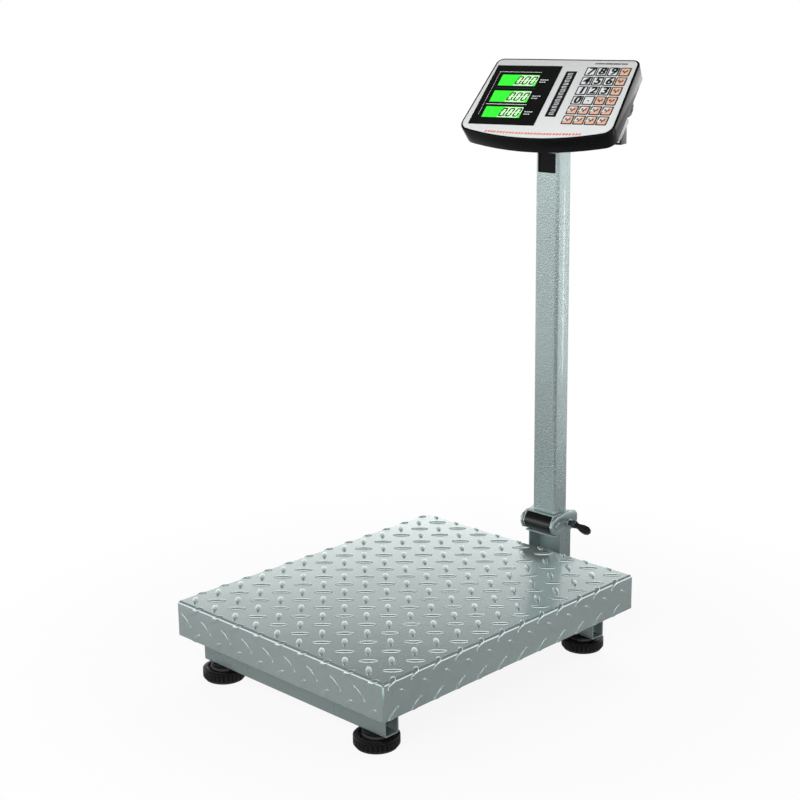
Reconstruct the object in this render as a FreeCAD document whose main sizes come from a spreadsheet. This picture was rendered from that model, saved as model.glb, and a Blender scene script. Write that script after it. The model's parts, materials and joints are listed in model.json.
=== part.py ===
import FreeCAD, Part
import math
import os
import Sketcher
from FreeCAD import Placement, Rotation, Vector

# Platform shipping scale: a folded checker-plate platter on a welded tube base with a single load
# cell, a folding column behind it, and a tilting, swivelling indicator head on top.
# Frame: +X to the user's right, +Y from the front edge towards the column, +Z up,
# origin on the floor under the middle of the whole scale. Millimetres.

doc = FreeCAD.newDocument("platform_scale")

# ---------------------------------------------------------------- driving dimensions
SIZES = {
    # platter, a folded tray
    "platter_wide": 400.0, "platter_long": 500.0, "platter_deep": 50.0, "platter_sheet": 2.0,
    "platter_top": 110.0, "platter_mid": -72.85, "platter_corner": 4.0,
    # base tubes
    "tube_side": 24.0, "tube_wall": 2.0, "tube_under": 22.2, "cross_long": 352.0,
    "front_tube_mid": -212.4, "rear_tube_mid": 202.4, "spine_wide": 50.0,
    # levelling feet
    "foot_across": 298.0, "foot_round": 30.0, "sole_round": 27.0, "sole_thick": 3.0,
    "rim_thick": 13.0, "ring_thick": 2.0, "dome_round": 20.0, "stud_round": 6.0,
    "stud_long": 20.0, "nut_across": 9.5, "nut_thick": 8.0, "rib_count": 40.0, "rib_round": 1.3,
    "thread_play": 0.1, "dome_gap": 0.4, "sole_gap": 0.05, "rim_step": 4.0,
    # load cell and its fixings
    "cell_long": 130.0, "cell_wide": 30.0, "cell_tall": 32.0, "spacer_thick": 3.0,
    "spacer_long": 34.0, "cell_bore": 9.0, "cell_bore_pitch": 26.0, "cell_bolt": 4.0,
    "cell_bolt_pitch": 20.0, "bolt_head_thick": 5.0, "cell_slot": 6.0, "cell_bolt_deep": 12.0,
    "hole_play": 0.3, "fit_play": 0.05,
    # upper frame that carries the platter
    "spider_tall": 20.0, "spider_wall": 2.0, "arm_long": 340.0, "pad_round": 13.0,
    "pad_thick": 3.0, "pad_across": 300.0, "stop_across": 240.0, "stop_round": 4.0,
    "stop_gap": 1.0, "stop_nut": 6.5, "stop_nut_thick": 5.0, "stop_head": 6.5,
    # hinge bracket on the base
    "bracket_wide": 60.6, "bracket_sheet": 2.7, "bracket_front": 296.4, "bracket_deep": 25.6,
    "bracket_back_top": 113.0, "pivot_y": 290.4, "pivot_z": 131.5, "lobe_round": 14.6,
    "ear_top": 150.0, "rear_lobe_y": 323.9, "rear_lobe_z": 135.0, "rear_lobe_round": 14.0,
    "lip_thick": 2.4,
    # shoe under the column, barrel and pin
    "shoe_wide": 54.6, "shoe_sheet": 2.6, "barrel_round": 13.0, "pin_round": 5.0,
    "pin_play": 0.05, "pin_head": 6.2, "pin_head_thick": 2.5, "pin_nut": 9.0,
    "pin_nut_thick": 5.0, "shoe_top": 148.2,
    "shoe_rear": 326.0, "shoe_under": 120.0, "shoe_nose": 286.0,
    # column
    "post_wide": 42.0, "post_deep": 31.0, "post_wall": 1.6, "post_mid": 308.9,
    "post_top": 696.0, "post_corner": 4.5, "window_wide": 32.6, "window_low": 659.0,
    "window_tall": 28.5,
    # lock screw
    "lock_y": 317.0, "lock_z": 131.0, "lock_round": 4.0, "boss_round": 6.5, "boss_long": 3.0,
    "tip_round": 3.4, "tip_long": 4.0, "shank_out": 9.0, "collar_out": 6.5,
    "collar_round": 6.0, "collar_long": 4.0, "paddle_out": 8.0, "paddle_thick": 4.4,
    "paddle_long": 31.0,
    # neck and swivel
    "plug_long": 70.0, "plug_play": 0.3, "flange_thick": 3.0, "swivel_gap": 0.3,
    "swivel_bolt": 5.0, "swivel_head": 8.0, "swivel_head_thick": 5.5, "washer_round": 11.0,
    "washer_thick": 1.6,
    # head
    "head_wide": 239.0, "head_deep": 147.0, "head_bow": 18.0, "head_tall": 26.7,
    "head_wall": 2.5, "head_yaw": 13.8, "head_tilt": 39.0, "head_ahead": 11.65,
    "face_height": 770.0, "rear_taper": 7.0, "rear_corner": 11.0, "front_corner": 14.0,
    "overlay_inset": 3.0, "overlay_thick": 0.6, "window_left": -106.4, "window_right": -2.4,
    "window_near": -64.7, "window_far": 57.3, "lens_thick": 2.0, "lcd_left": -90.8, "lcd_right": -31.1,
    "lcd_thick": 2.4, "board_wide": 200.0, "board_thick": 1.6, "floor_top": 10.0, "floor_thick": 2.5,
    "screw_round": 1.5, "screw_head": 3.5, "screw_head_thick": 2.2, "screw_boss": 4.0,
    # tilt pivot in the head's own frame
    "tilt_y": 9.8, "tilt_drop": 29.0, "lug_in": 86.0, "lug_thick": 7.0, "lug_round": 11.0,
    "arm_gap": 0.4, "yoke_sheet": 3.0, "yoke_bore": 3.3, "yoke_lug": 11.0,
    "knob_round": 15.5, "knob_thick": 13.0, "knob_lobe": 3.2, "knob_stud": 3.2,
    "knob_stud_long": 12.0, "knob_lobes": 12.0, "tongue_wide": 40.0, "tongue_front": 13.0,
    "strap_gap": 3.0, "strap_deep": 20.0,
    # battery pod under the head
    "pod_wide": 226.8, "pod_near": -55.0, "pod_far": -11.0, "pod_deep": 42.0, "pod_wall": 2.2,
    "channel_wide": 78.0, "channel_drop": 26.0, "pod_corner": 12.0, "pod_rim": 6.0,
    "battery_wide": 56.0, "battery_deep": 30.0, "battery_tall": 22.0, "door_wide": 46.0,
    "door_deep": 26.0, "door_thick": 1.6, "pod_room": 2.0, "battery_in": 8.0, "door_in": 12.0,
    # sockets
    "socket_left": 56.0, "socket_drop": 16.0, "socket_round": 5.5, "socket_long": 4.0,
    "socket_bore": 2.9, "gland_back": 48.0, "gland_round": 8.0, "gland_long": 11.0,
    "gland_bore": 3.2,
}

sheet = doc.addObject("Spreadsheet::Sheet", "Sizes")
for row, (alias, number) in enumerate(SIZES.items(), start=1):
    sheet.set(f"A{row}", alias)
    sheet.set(f"B{row}", str(number))
    sheet.setAlias(f"B{row}", alias)
doc.recompute()


# ---------------------------------------------------------------- shared helpers
def full(expression):
    """Put the sheet's name before every alias in an expression."""
    words = []
    word = ""
    for letter in str(expression) + " ":
        if letter.isalnum() or letter == "_" or (letter == "." and word[:1].isdigit()):
            word += letter
            continue
        words.append("Sizes." + word if word in SIZES else word)
        words.append(letter)
        word = ""
    return "".join(words).strip()


def number(expression):
    """The value of an expression in the sheet's aliases."""
    return float(sheet.evalExpression(full(expression)))


def bind(thing, **sizes):
    for name, expression in sizes.items():
        thing.setExpression(name.replace("__", "."), full(expression))
    return thing


def place(thing, x="0", y="0", z="0", turn=None):
    if turn:
        thing.Placement = Placement(Vector(0, 0, 0), turn)
    bind(thing, Placement__Base__x=x, Placement__Base__y=y, Placement__Base__z=z)
    return thing


ALONG_X = Rotation(Vector(0, 1, 0), 90)
ALONG_Y = Rotation(Vector(1, 0, 0), -90)
UPRIGHT = Rotation()


def box(name, x, y, z, wide, deep, tall):
    """A block from its low corner and its three sides."""
    block = doc.addObject("Part::Box", name)
    bind(block, Length=wide, Width=deep, Height=tall)
    return place(block, x, y, z)


def block_about(name, x, y, z, wide, deep, tall):
    """A block centred on x and y, standing on z."""
    return box(name, f"{x} - ({wide}) / 2", f"{y} - ({deep}) / 2", z, wide, deep, tall)


def rod(name, x, y, z, radius, length, turn=UPRIGHT):
    """A cylinder from the middle of its first end."""
    cylinder = doc.addObject("Part::Cylinder", name)
    bind(cylinder, Radius=radius, Height=length)
    return place(cylinder, x, y, z, turn)


def hexagon(name, x, y, z, circumradius, length, turn=UPRIGHT):
    prism = doc.addObject("Part::Prism", name)
    prism.Polygon = 6
    bind(prism, Circumradius=circumradius, Height=length)
    return place(prism, x, y, z, turn)


def joined(name, *pieces):
    fuse = doc.addObject("Part::MultiFuse", name)
    fuse.Shapes = list(pieces)
    return fuse


def cut(name, base, *tools):
    result = doc.addObject("Part::Cut", name)
    result.Base = base
    result.Tool = tools[0] if len(tools) == 1 else joined(name + "_tools", *tools)
    return result


def group(name, pieces):
    compound = doc.addObject("Part::Compound", name)
    compound.Links = list(pieces)
    return compound


def part_body(name):
    return doc.addObject("PartDesign::Body", name)


def sketch_on(body, name, role, offset="0"):
    """A sketch on one of the body's own origin planes, moved along its normal."""
    sketch = body.newObject("Sketcher::SketchObject", name)
    plane = [one for one in body.Origin.OriginFeatures if one.Role == role][0]
    sketch.AttachmentSupport = [(plane, "")]
    sketch.MapMode = "FlatFace"
    sketch.setExpression("AttachmentOffset.Base.z", full(offset))
    return sketch


def fix_point(sketch, edge, end, x, y):
    """Tie one end of an edge to two expressions measured from the sketch's origin."""
    for kind, expression in (("DistanceX", x), ("DistanceY", y)):
        index = sketch.addConstraint(
            Sketcher.Constraint(kind, -1, 1, edge, end, number(expression)))
        sketch.setExpression(f"Constraints[{index}]", full(expression))


def outline(sketch, corners):
    """A closed outline of straight edges. Each corner is a pair of expressions."""
    points = [Vector(number(x), number(y), 0) for x, y in corners]
    first = sketch.GeometryCount
    count = len(points)
    for i in range(count):
        sketch.addGeometry(Part.LineSegment(points[i], points[(i + 1) % count]), False)
    for i in range(count):
        sketch.addConstraint(
            Sketcher.Constraint("Coincident", first + i, 2, first + (i + 1) % count, 1))
        fix_point(sketch, first + i, 1, *corners[i])


def rectangle(sketch, x_low, y_low, x_high, y_high):
    outline(sketch, [(x_low, y_low), (x_high, y_low), (x_high, y_high), (x_low, y_high)])


def circle(sketch, x, y, radius):
    index = sketch.addGeometry(
        Part.Circle(Vector(number(x), number(y), 0), Vector(0, 0, 1), number(radius)), False)
    fix_point(sketch, index, 3, x, y)
    size = sketch.addConstraint(Sketcher.Constraint("Radius", index, number(radius)))
    sketch.setExpression(f"Constraints[{size}]", full(radius))


def pad(body, sketch, name, length, reverse=False):
    feature = body.newObject("PartDesign::Pad", name)
    feature.Profile = sketch
    feature.Reversed = reverse
    feature.setExpression("Length", full(length))
    doc.recompute()
    return feature


def pocket(body, sketch, name, length, reverse=False):
    """A pocket that must take material away, whichever way it points."""
    doc.recompute()
    before = body.Shape.Volume
    feature = body.newObject("PartDesign::Pocket", name)
    feature.Profile = sketch
    feature.Reversed = reverse
    feature.setExpression("Length", full(length))
    doc.recompute()
    if body.Shape.Volume > before - 1.0:
        raise RuntimeError(f"{name} cuts nothing")
    return feature


def round_edges(body, name, radius, chosen):
    """Round the edges of the body's tip that the test picks out."""
    doc.recompute()
    tip = body.Tip
    edges = [f"Edge{i}" for i, edge in enumerate(tip.Shape.Edges, start=1) if chosen(edge)]
    if not edges:
        raise RuntimeError(f"{name} finds no edge")
    feature = body.newObject("PartDesign::Fillet", name)
    feature.Base = (tip, edges)
    feature.setExpression("Radius", full(radius))
    doc.recompute()
    return feature


def upright(edge):
    """True for a straight edge along Z."""
    first, last = edge.Vertexes[0].Point, edge.Vertexes[-1].Point
    return abs(first.z - last.z) > 0.1 and math.hypot(first.x - last.x, first.y - last.y) < 1e-3


def square_tube(name, x, y, z, wide, deep, tall, wall, axis):
    """A hollow rectangular tube with open ends, running along axis "X", "Y" or "Z"."""
    outer = box(name + "_outer", x, y, z, wide, deep, tall)
    grow = {"X": "0", "Y": "0", "Z": "0"}
    shrink = {one: wall for one in grow}
    shrink[axis] = "-1"
    inner = box(name + "_inner",
                f"{x} + {shrink['X']}", f"{y} + {shrink['Y']}", f"{z} + {shrink['Z']}",
                f"{wide} - 2 * ({shrink['X']})", f"{deep} - 2 * ({shrink['Y']})",
                f"{tall} - 2 * ({shrink['Z']})")
    return cut(name, outer, inner)


kept = []


def keep(thing, label):
    """Name a finished sub-part; the label is its node and its file."""
    thing.Label = label
    kept.append(thing)
    return thing


# ---------------------------------------------------------------- platter
def make_platter():
    """A tray of 2 mm sheet: the top with four skirts folded down, corners left with a slit."""
    body = part_body("platter_body")
    top = sketch_on(body, "platter_plan", "XY_Plane", "platter_top")
    rectangle(top, "-platter_wide / 2", "platter_mid - platter_long / 2",
              "platter_wide / 2", "platter_mid + platter_long / 2")
    pad(body, top, "platter_block", "platter_deep", reverse=True)
    round_edges(body, "platter_folds", "platter_corner",
                lambda edge: edge.CenterOfMass.z > number("platter_top - 0.1"))
    hollow = sketch_on(body, "platter_hollow", "XY_Plane", "platter_top - platter_deep")
    rectangle(hollow, "-platter_wide / 2 + platter_sheet",
              "platter_mid - platter_long / 2 + platter_sheet",
              "platter_wide / 2 - platter_sheet",
              "platter_mid + platter_long / 2 - platter_sheet")
    pocket(body, hollow, "platter_inside", "platter_deep - platter_sheet", reverse=True)
    return keep(body, "platter")


# ---------------------------------------------------------------- base frame
def make_base():
    """Two cross tubes, the spine between them and the rear rail that holds the hinge bracket."""
    for label, middle in (("front_cross_tube", "front_tube_mid"),
                          ("rear_cross_tube", "rear_tube_mid")):
        tube = square_tube(f"{label}_bar", "-cross_long / 2",
                           f"platter_mid + {middle} - tube_side / 2", "tube_under",
                           "cross_long", "tube_side", "tube_side", "tube_wall", "X")
        holes = []
        for side in ("-1", "1"):
            holes.append(rod(f"{label}_stud_hole", f"{side} * foot_across / 2",
                             f"platter_mid + {middle}", "tube_under - 1",
                             "stud_round + 0.5", "tube_wall + 2"))
            holes.append(rod(f"{label}_stop_hole", f"{side} * stop_across / 2",
                             f"platter_mid + {middle}", "tube_under + tube_side - tube_wall - 1",
                             "stop_round + 0.1", "tube_wall + 2"))
        keep(cut(label + "_drilled", tube, *holes), label)
    front_end = "platter_mid + front_tube_mid + tube_side / 2"
    rear_start = "platter_mid + rear_tube_mid - tube_side / 2"
    spine = square_tube("spine", "-spine_wide / 2", front_end, "tube_under", "spine_wide",
                        f"{rear_start} - ({front_end})", "tube_side", "tube_wall", "Y")
    holes = [rod("spine_bolt_hole", "0",
                 f"platter_mid - cell_long / 2 + spacer_long / 2 + {side} * cell_bolt_pitch",
                 "tube_under + tube_side - tube_wall - 1", "cell_bolt + hole_play", "tube_wall + 2")
             for side in ("-0.5", "0.5")]
    keep(cut("spine_drilled", spine, *holes), "base_spine")
    rail_wide = "bracket_wide - 2 * bracket_sheet"
    rear_end = "platter_mid + rear_tube_mid + tube_side / 2"
    rail_end = "platter_mid + bracket_front + bracket_deep - bracket_sheet"
    keep(square_tube("rail", f"-({rail_wide}) / 2", rear_end, "tube_under", rail_wide,
                     f"{rail_end} - ({rear_end})", "tube_side", "tube_wall", "Y"),
         "rear_rail")


# ---------------------------------------------------------------- levelling feet
CORNERS = [("front_left", "-1", "front_tube_mid"), ("front_right", "1", "front_tube_mid"),
           ("rear_left", "-1", "rear_tube_mid"), ("rear_right", "1", "rear_tube_mid")]


def make_foot(corner, side, middle):
    """A ribbed moulded foot on a steel stud, turned by hand to level the scale."""
    x = f"{side} * foot_across / 2"
    y = f"platter_mid + {middle}"
    sole = rod(f"{corner}_sole_disc", x, y, "0", "sole_round", "sole_thick")
    keep(sole, f"foot_sole_{corner}")
    body = part_body(f"{corner}_foot")
    base = sketch_on(body, f"{corner}_rim_plan", "XY_Plane", "sole_thick + sole_gap")
    circle(base, "0", "0", "foot_round - rib_round")
    pad(body, base, f"{corner}_rim", "rim_thick")
    rib = sketch_on(body, f"{corner}_rib_plan", "XY_Plane", "sole_thick + sole_gap")
    circle(rib, "foot_round - rib_round", "0", "rib_round")
    ribs = pad(body, rib, f"{corner}_rib", "rim_thick")
    pattern = body.newObject("PartDesign::PolarPattern", f"{corner}_ribs")
    pattern.Originals = [ribs]
    pattern.Axis = ([one for one in body.Origin.OriginFeatures if one.Role == "Z_Axis"][0], [""])
    pattern.Angle = 360
    pattern.setExpression("Occurrences", full("rib_count"))
    body.Tip = pattern
    doc.recompute()
    ring = sketch_on(body, f"{corner}_ring_plan", "XY_Plane", "sole_thick + rim_thick")
    circle(ring, "0", "0", "foot_round - rim_step")
    pad(body, ring, f"{corner}_ring", "ring_thick")
    dome = sketch_on(body, f"{corner}_dome_plan", "XY_Plane",
                     "sole_thick + rim_thick + ring_thick - 0.1")
    circle(dome, "0", "0", "dome_round")
    dome_top = "tube_under - dome_gap - (sole_thick + rim_thick + ring_thick)"
    pad(body, dome, f"{corner}_dome", dome_top)
    stud = sketch_on(body, f"{corner}_stud_plan", "XY_Plane", "tube_under - dome_gap - 1")
    circle(stud, "0", "0", "stud_round")
    pad(body, stud, f"{corner}_stud", "stud_long")
    place(body, x, y, "0")
    keep(body, f"foot_{corner}")


def make_feet():
    nuts = []
    for corner, side, middle in CORNERS:
        make_foot(corner, side, middle)
        x = f"{side} * foot_across / 2"
        y = f"platter_mid + {middle}"
        nut = hexagon(f"{corner}_nut", x, y, "tube_under + tube_wall", "nut_across",
                      "nut_thick")
        bore = rod(f"{corner}_nut_bore", x, y, "tube_under", "stud_round + thread_play",
                   "nut_thick + 6")
        nuts.append(cut(f"{corner}_nut_cut", nut, bore))
    keep(group("foot_nut_set", nuts), "foot_weld_nuts")


# ---------------------------------------------------------------- load cell
def make_load_cell():
    """An aluminium bending beam, bolted down at its front end and up at its rear end."""
    rail_top = "tube_under + tube_side"
    cell_low = f"{rail_top} + spacer_thick"
    spider_low = "platter_top - platter_sheet - pad_thick - spider_tall"
    front = "platter_mid - cell_long / 2 + spacer_long / 2"
    rear = "platter_mid + cell_long / 2 - spacer_long / 2"
    body = block_about("cell_block", "0", "platter_mid", cell_low, "cell_wide", "cell_long",
                       "cell_tall")
    cuts = []
    for step in ("-0.5", "0.5"):
        cuts.append(rod("cell_bore_hole", "-cell_wide / 2 - 1",
                        f"platter_mid + {step} * cell_bore_pitch",
                        f"{cell_low} + cell_tall / 2", "cell_bore", "cell_wide + 2", ALONG_X))
    cuts.append(block_about("cell_slot", "0", "platter_mid",
                            f"{cell_low} + cell_tall / 2 - cell_slot / 2", "cell_wide + 2",
                            "cell_bore_pitch", "cell_slot"))
    upper_low = f"{cell_low} + cell_tall - cell_bolt_deep"
    bolts = {"lower": (front, f"{rail_top} - tube_wall",
                       "spacer_thick + tube_wall + cell_bolt_deep"),
             "upper": (rear, upper_low, f"{spider_low} + spider_wall - ({upper_low})")}
    for end, (y, low, long) in bolts.items():
        for side in ("-0.5", "0.5"):
            cuts.append(rod(f"cell_{end}_thread", "0", f"{y} + {side} * cell_bolt_pitch", low,
                            "cell_bolt + fit_play", long))
    keep(cut("cell_beam", body, *cuts), "load_cell")
    for end, y, low, high in (("lower", front, rail_top, cell_low),
                              ("upper", rear, f"{cell_low} + cell_tall", spider_low)):
        plate = block_about(f"{end}_plate", "0", y, low, "cell_wide", "spacer_long",
                            f"{high} - ({low})")
        holes = [rod(f"{end}_plate_hole", "0", f"{y} + {side} * cell_bolt_pitch", f"{low} - 1",
                     "cell_bolt + hole_play", f"{high} - ({low}) + 2") for side in ("-0.5", "0.5")]
        keep(cut(f"{end}_plate_cut", plate, *holes), f"cell_{end}_spacer")
    for end, (y, low, long) in bolts.items():
        screws = []
        for side in ("-0.5", "0.5"):
            where = f"{y} + {side} * cell_bolt_pitch"
            shank = rod(f"{end}_bolt_shank", "0", where, low, "cell_bolt", long)
            head_low = f"{low} - bolt_head_thick" if end == "lower" else f"{low} + {long}"
            head = hexagon(f"{end}_bolt_head", "0", where, head_low, "cell_bolt * 1.8",
                           "bolt_head_thick")
            screws.append(joined(f"{end}_bolt", shank, head))
        keep(group(f"{end}_bolt_set", screws), f"cell_{end}_bolts")


# ---------------------------------------------------------------- platter carrier
def make_carrier():
    """The upper frame on the free end of the load cell, its pads, and the overload stops."""
    low = "platter_top - platter_sheet - pad_thick - spider_tall"
    beam_start = "platter_mid + front_tube_mid + tube_side / 2"
    beam_end = "platter_mid + rear_tube_mid - tube_side / 2"
    beam = square_tube("carrier_beam_tube", "-cell_wide / 2", beam_start, low, "cell_wide",
                       f"{beam_end} - ({beam_start})", "spider_tall", "spider_wall", "Y")
    rear = "platter_mid + cell_long / 2 - spacer_long / 2"
    holes = [rod("carrier_bolt_hole", "0", f"{rear} + {side} * cell_bolt_pitch", f"{low} - 1",
                 "cell_bolt + hole_play", "spider_wall + 2") for side in ("-0.5", "0.5")]
    keep(cut("carrier_beam_drilled", beam, *holes), "carrier_beam")
    pads, stops, nuts = [], [], []
    for label, middle in (("front", "front_tube_mid"), ("rear", "rear_tube_mid")):
        y = f"platter_mid + {middle}"
        keep(square_tube(f"carrier_{label}_arm", "-arm_long / 2", f"{y} - tube_side / 2", low,
                         "arm_long", "tube_side", "spider_tall", "spider_wall", "X"),
             f"carrier_arm_{label}")
        for side in ("-1", "1"):
            pads.append(rod("platter_pad", f"{side} * pad_across / 2", y,
                            f"{low} + spider_tall", "pad_round", "pad_thick"))
            x = f"{side} * stop_across / 2"
            tube_top = "tube_under + tube_side"
            shank_low = "tube_under + 6"
            head_low = f"{low} - stop_gap - stop_head * 0.8"
            shank = rod("stop_shank", x, y, shank_low, "stop_round",
                        f"{head_low} - ({shank_low})")
            head = hexagon("stop_hex", x, y, head_low, "stop_head", "stop_head * 0.8")
            stops.append(joined("stop_screw", shank, head))
            nut = hexagon("stop_nut_hex", x, y, tube_top, "stop_nut", "stop_nut_thick")
            bore = rod("stop_nut_bore", x, y, f"{tube_top} - 1", "stop_round + thread_play",
                       "stop_nut_thick + 2")
            nuts.append(cut("stop_locknut", nut, bore))
    keep(group("pad_set", pads), "platter_pads")
    keep(group("stop_set", stops), "overload_stop_screws")
    keep(group("stop_nut_set", nuts), "overload_stop_nuts")


# ---------------------------------------------------------------- hinge bracket
def ear_outline(sketch, low):
    """One ear seen from the side: foot on the channel, a front lobe and a rear lobe."""
    front = "platter_mid + bracket_front"
    rear = "platter_mid + bracket_front + bracket_deep"
    pivot = "platter_mid + pivot_y"
    back = "platter_mid + rear_lobe_y + rear_lobe_round"
    outline(sketch, [
        (front, low), (rear, low), (rear, "lock_z - 12"),
        (f"{back} - 4", "lock_z - 8"), (back, "lock_z"), (back, "rear_lobe_z + 6"),
        (f"{back} - 6", "ear_top - 2"), ("platter_mid + rear_lobe_y - 6", "ear_top"),
        (f"{pivot} + 4", "pivot_z + lobe_round"), (pivot, "pivot_z + lobe_round"),
        (f"{pivot} - lobe_round * 0.71", "pivot_z + lobe_round * 0.71"),
        (f"{pivot} - lobe_round", "pivot_z"),
        (f"{pivot} - lobe_round * 0.71", "pivot_z - lobe_round * 0.71"),
        (pivot, "pivot_z - lobe_round"), (front, "lock_z - 14")])


def make_bracket():
    """A sheet channel open to the front whose side walls rise into the two hinge ears."""
    pieces = []
    for name, start in (("left", "-bracket_wide / 2"),
                        ("right", "bracket_wide / 2 - bracket_sheet")):
        body = part_body(f"bracket_{name}_wall")
        side = sketch_on(body, f"bracket_{name}_profile", "YZ_Plane", start)
        ear_outline(side, "tube_under")
        pad(body, side, f"bracket_{name}_sheet", "bracket_sheet")
        holes = sketch_on(body, f"bracket_{name}_holes", "YZ_Plane", start)
        circle(holes, "platter_mid + pivot_y", "pivot_z", "pin_round + pin_play")
        if name == "right":
            circle(holes, "platter_mid + lock_y", "lock_z", "lock_round + thread_play")
        pocket(body, holes, f"bracket_{name}_bores", "bracket_sheet", reverse=True)
        pieces.append(body)
    inner = "bracket_wide - 2 * bracket_sheet"
    rear = "platter_mid + bracket_front + bracket_deep - bracket_sheet"
    pieces.append(block_about("bracket_back", "0", f"{rear} + bracket_sheet / 2", "tube_under",
                              f"{inner} + 1", "bracket_sheet",
                              "bracket_back_top - tube_under"))
    pieces.append(box("bracket_lip", f"-({inner}) / 2 - 0.5", "platter_mid + pivot_y - 4",
                      "pivot_z - lobe_round - lip_thick - 0.6", f"{inner} + 1",
                      "bracket_front - pivot_y + 8", "lip_thick"))
    keep(joined("hinge_bracket_weldment", *pieces), "hinge_bracket")
    boss = rod("lock_boss_round", "bracket_wide / 2", "platter_mid + lock_y", "lock_z",
               "boss_round", "boss_long", ALONG_X)
    bore = rod("lock_boss_bore", "bracket_wide / 2 - 1", "platter_mid + lock_y", "lock_z",
               "lock_round + thread_play", "boss_long + 2", ALONG_X)
    keep(cut("lock_boss_cut", boss, bore), "lock_nut")


# ---------------------------------------------------------------- column, shoe and pin
def make_shoe():
    """The welded shoe under the column: two cheeks between the ears and a top web."""
    pieces = []
    pivot = "platter_mid + pivot_y"
    for name, start in (("left", "-shoe_wide / 2"), ("right", "shoe_wide / 2 - shoe_sheet")):
        body = part_body(f"shoe_{name}_cheek")
        side = sketch_on(body, f"shoe_{name}_profile", "YZ_Plane", start)
        outline(side, [
            (pivot, "pivot_z - barrel_round"), (f"{pivot} + barrel_round", "shoe_under"),
            ("platter_mid + shoe_rear", "shoe_under"), ("platter_mid + shoe_rear", "shoe_top"),
            (f"{pivot} - barrel_round * 0.3", "shoe_top"),
            (f"{pivot} - barrel_round * 0.71", "pivot_z + barrel_round * 0.71"),
            (f"{pivot} - barrel_round", "pivot_z"),
            (f"{pivot} - barrel_round * 0.71", "pivot_z - barrel_round * 0.71")])
        pad(body, side, f"shoe_{name}_sheet", "shoe_sheet")
        holes = sketch_on(body, f"shoe_{name}_bore", "YZ_Plane", start)
        circle(holes, pivot, "pivot_z", "pin_round + pin_play")
        pocket(body, holes, f"shoe_{name}_pin_hole", "shoe_sheet", reverse=True)
        pieces.append(body)
    pieces.append(box("shoe_web", "-shoe_wide / 2", "platter_mid + shoe_nose",
                      "shoe_top - shoe_sheet", "shoe_wide", "shoe_rear - shoe_nose",
                      "shoe_sheet"))
    keep(joined("shoe_weldment", *pieces), "column_shoe")


def make_hinge_pin():
    """A polished barrel between the cheeks on one through bolt with a nut."""
    y = "platter_mid + pivot_y"
    inner = "shoe_wide - 2 * shoe_sheet"
    sleeve = rod("barrel_round_bar", f"-({inner}) / 2", y, "pivot_z", "barrel_round", inner,
                 ALONG_X)
    bore = rod("barrel_bore", f"-({inner}) / 2 - 1", y, "pivot_z", "pin_round + pin_play",
               f"{inner} + 2", ALONG_X)
    keep(cut("barrel_sleeve", sleeve, bore), "hinge_barrel")
    shank = rod("pin_shank", "-bracket_wide / 2 - pin_nut_thick - 1", y, "pivot_z", "pin_round",
                "bracket_wide + pin_nut_thick + 1", ALONG_X)
    head = rod("pin_head_disc", "bracket_wide / 2", y, "pivot_z", "pin_head",
               "pin_head_thick", ALONG_X)
    socket = hexagon("pin_socket", "bracket_wide / 2 + pin_head_thick / 2", y, "pivot_z",
                     "pin_round * 0.7", "pin_head_thick", ALONG_X)
    keep(cut("hinge_pin_bolt", joined("pin_solid", shank, head), socket), "hinge_pin")
    nut = hexagon("pin_nut_hex", "-bracket_wide / 2 - pin_nut_thick", y, "pivot_z", "pin_nut",
                  "pin_nut_thick", ALONG_X)
    nut_bore = rod("pin_nut_bore", "-bracket_wide / 2 - pin_nut_thick - 1", y, "pivot_z",
                   "pin_round + pin_play", "pin_nut_thick + 2", ALONG_X)
    keep(cut("hinge_nut_cut", nut, nut_bore), "hinge_nut")


def make_post():
    """The column: a rectangular tube with rounded corners and one window near its top."""
    body = part_body("post_body")
    plan = sketch_on(body, "post_plan", "XY_Plane", "shoe_top")
    rectangle(plan, "-post_wide / 2", "platter_mid + post_mid - post_deep / 2",
              "post_wide / 2", "platter_mid + post_mid + post_deep / 2")
    pad(body, plan, "post_bar", "post_top - shoe_top")
    round_edges(body, "post_corners", "post_corner", upright)
    hollow = sketch_on(body, "post_hollow", "XY_Plane", "shoe_top")
    rectangle(hollow, "-post_wide / 2 + post_wall",
              "platter_mid + post_mid - post_deep / 2 + post_wall",
              "post_wide / 2 - post_wall",
              "platter_mid + post_mid + post_deep / 2 - post_wall")
    pocket(body, hollow, "post_inside", "post_top - shoe_top", reverse=True)
    round_edges(body, "post_inner_corners", "post_corner - post_wall",
                lambda edge: upright(edge) and
                abs(abs(edge.CenterOfMass.x) - number("post_wide / 2 - post_wall")) < 0.01)
    window = sketch_on(body, "post_window", "XZ_Plane",
                       "-(platter_mid + post_mid - post_deep / 2 + post_wall + 0.5)")
    rectangle(window, "-window_wide / 2", "window_low", "window_wide / 2",
              "window_low + window_tall")
    pocket(body, window, "post_window_cut", "post_wall + 2", reverse=True)
    keep(body, "column_post")


# Half-widths of the lock paddle, each with its distance from the collar.
PADDLE = [(0, 4.0), (9, 4.0), (16, 6.0), (24, 6.4), (29, 4.4)]


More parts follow.
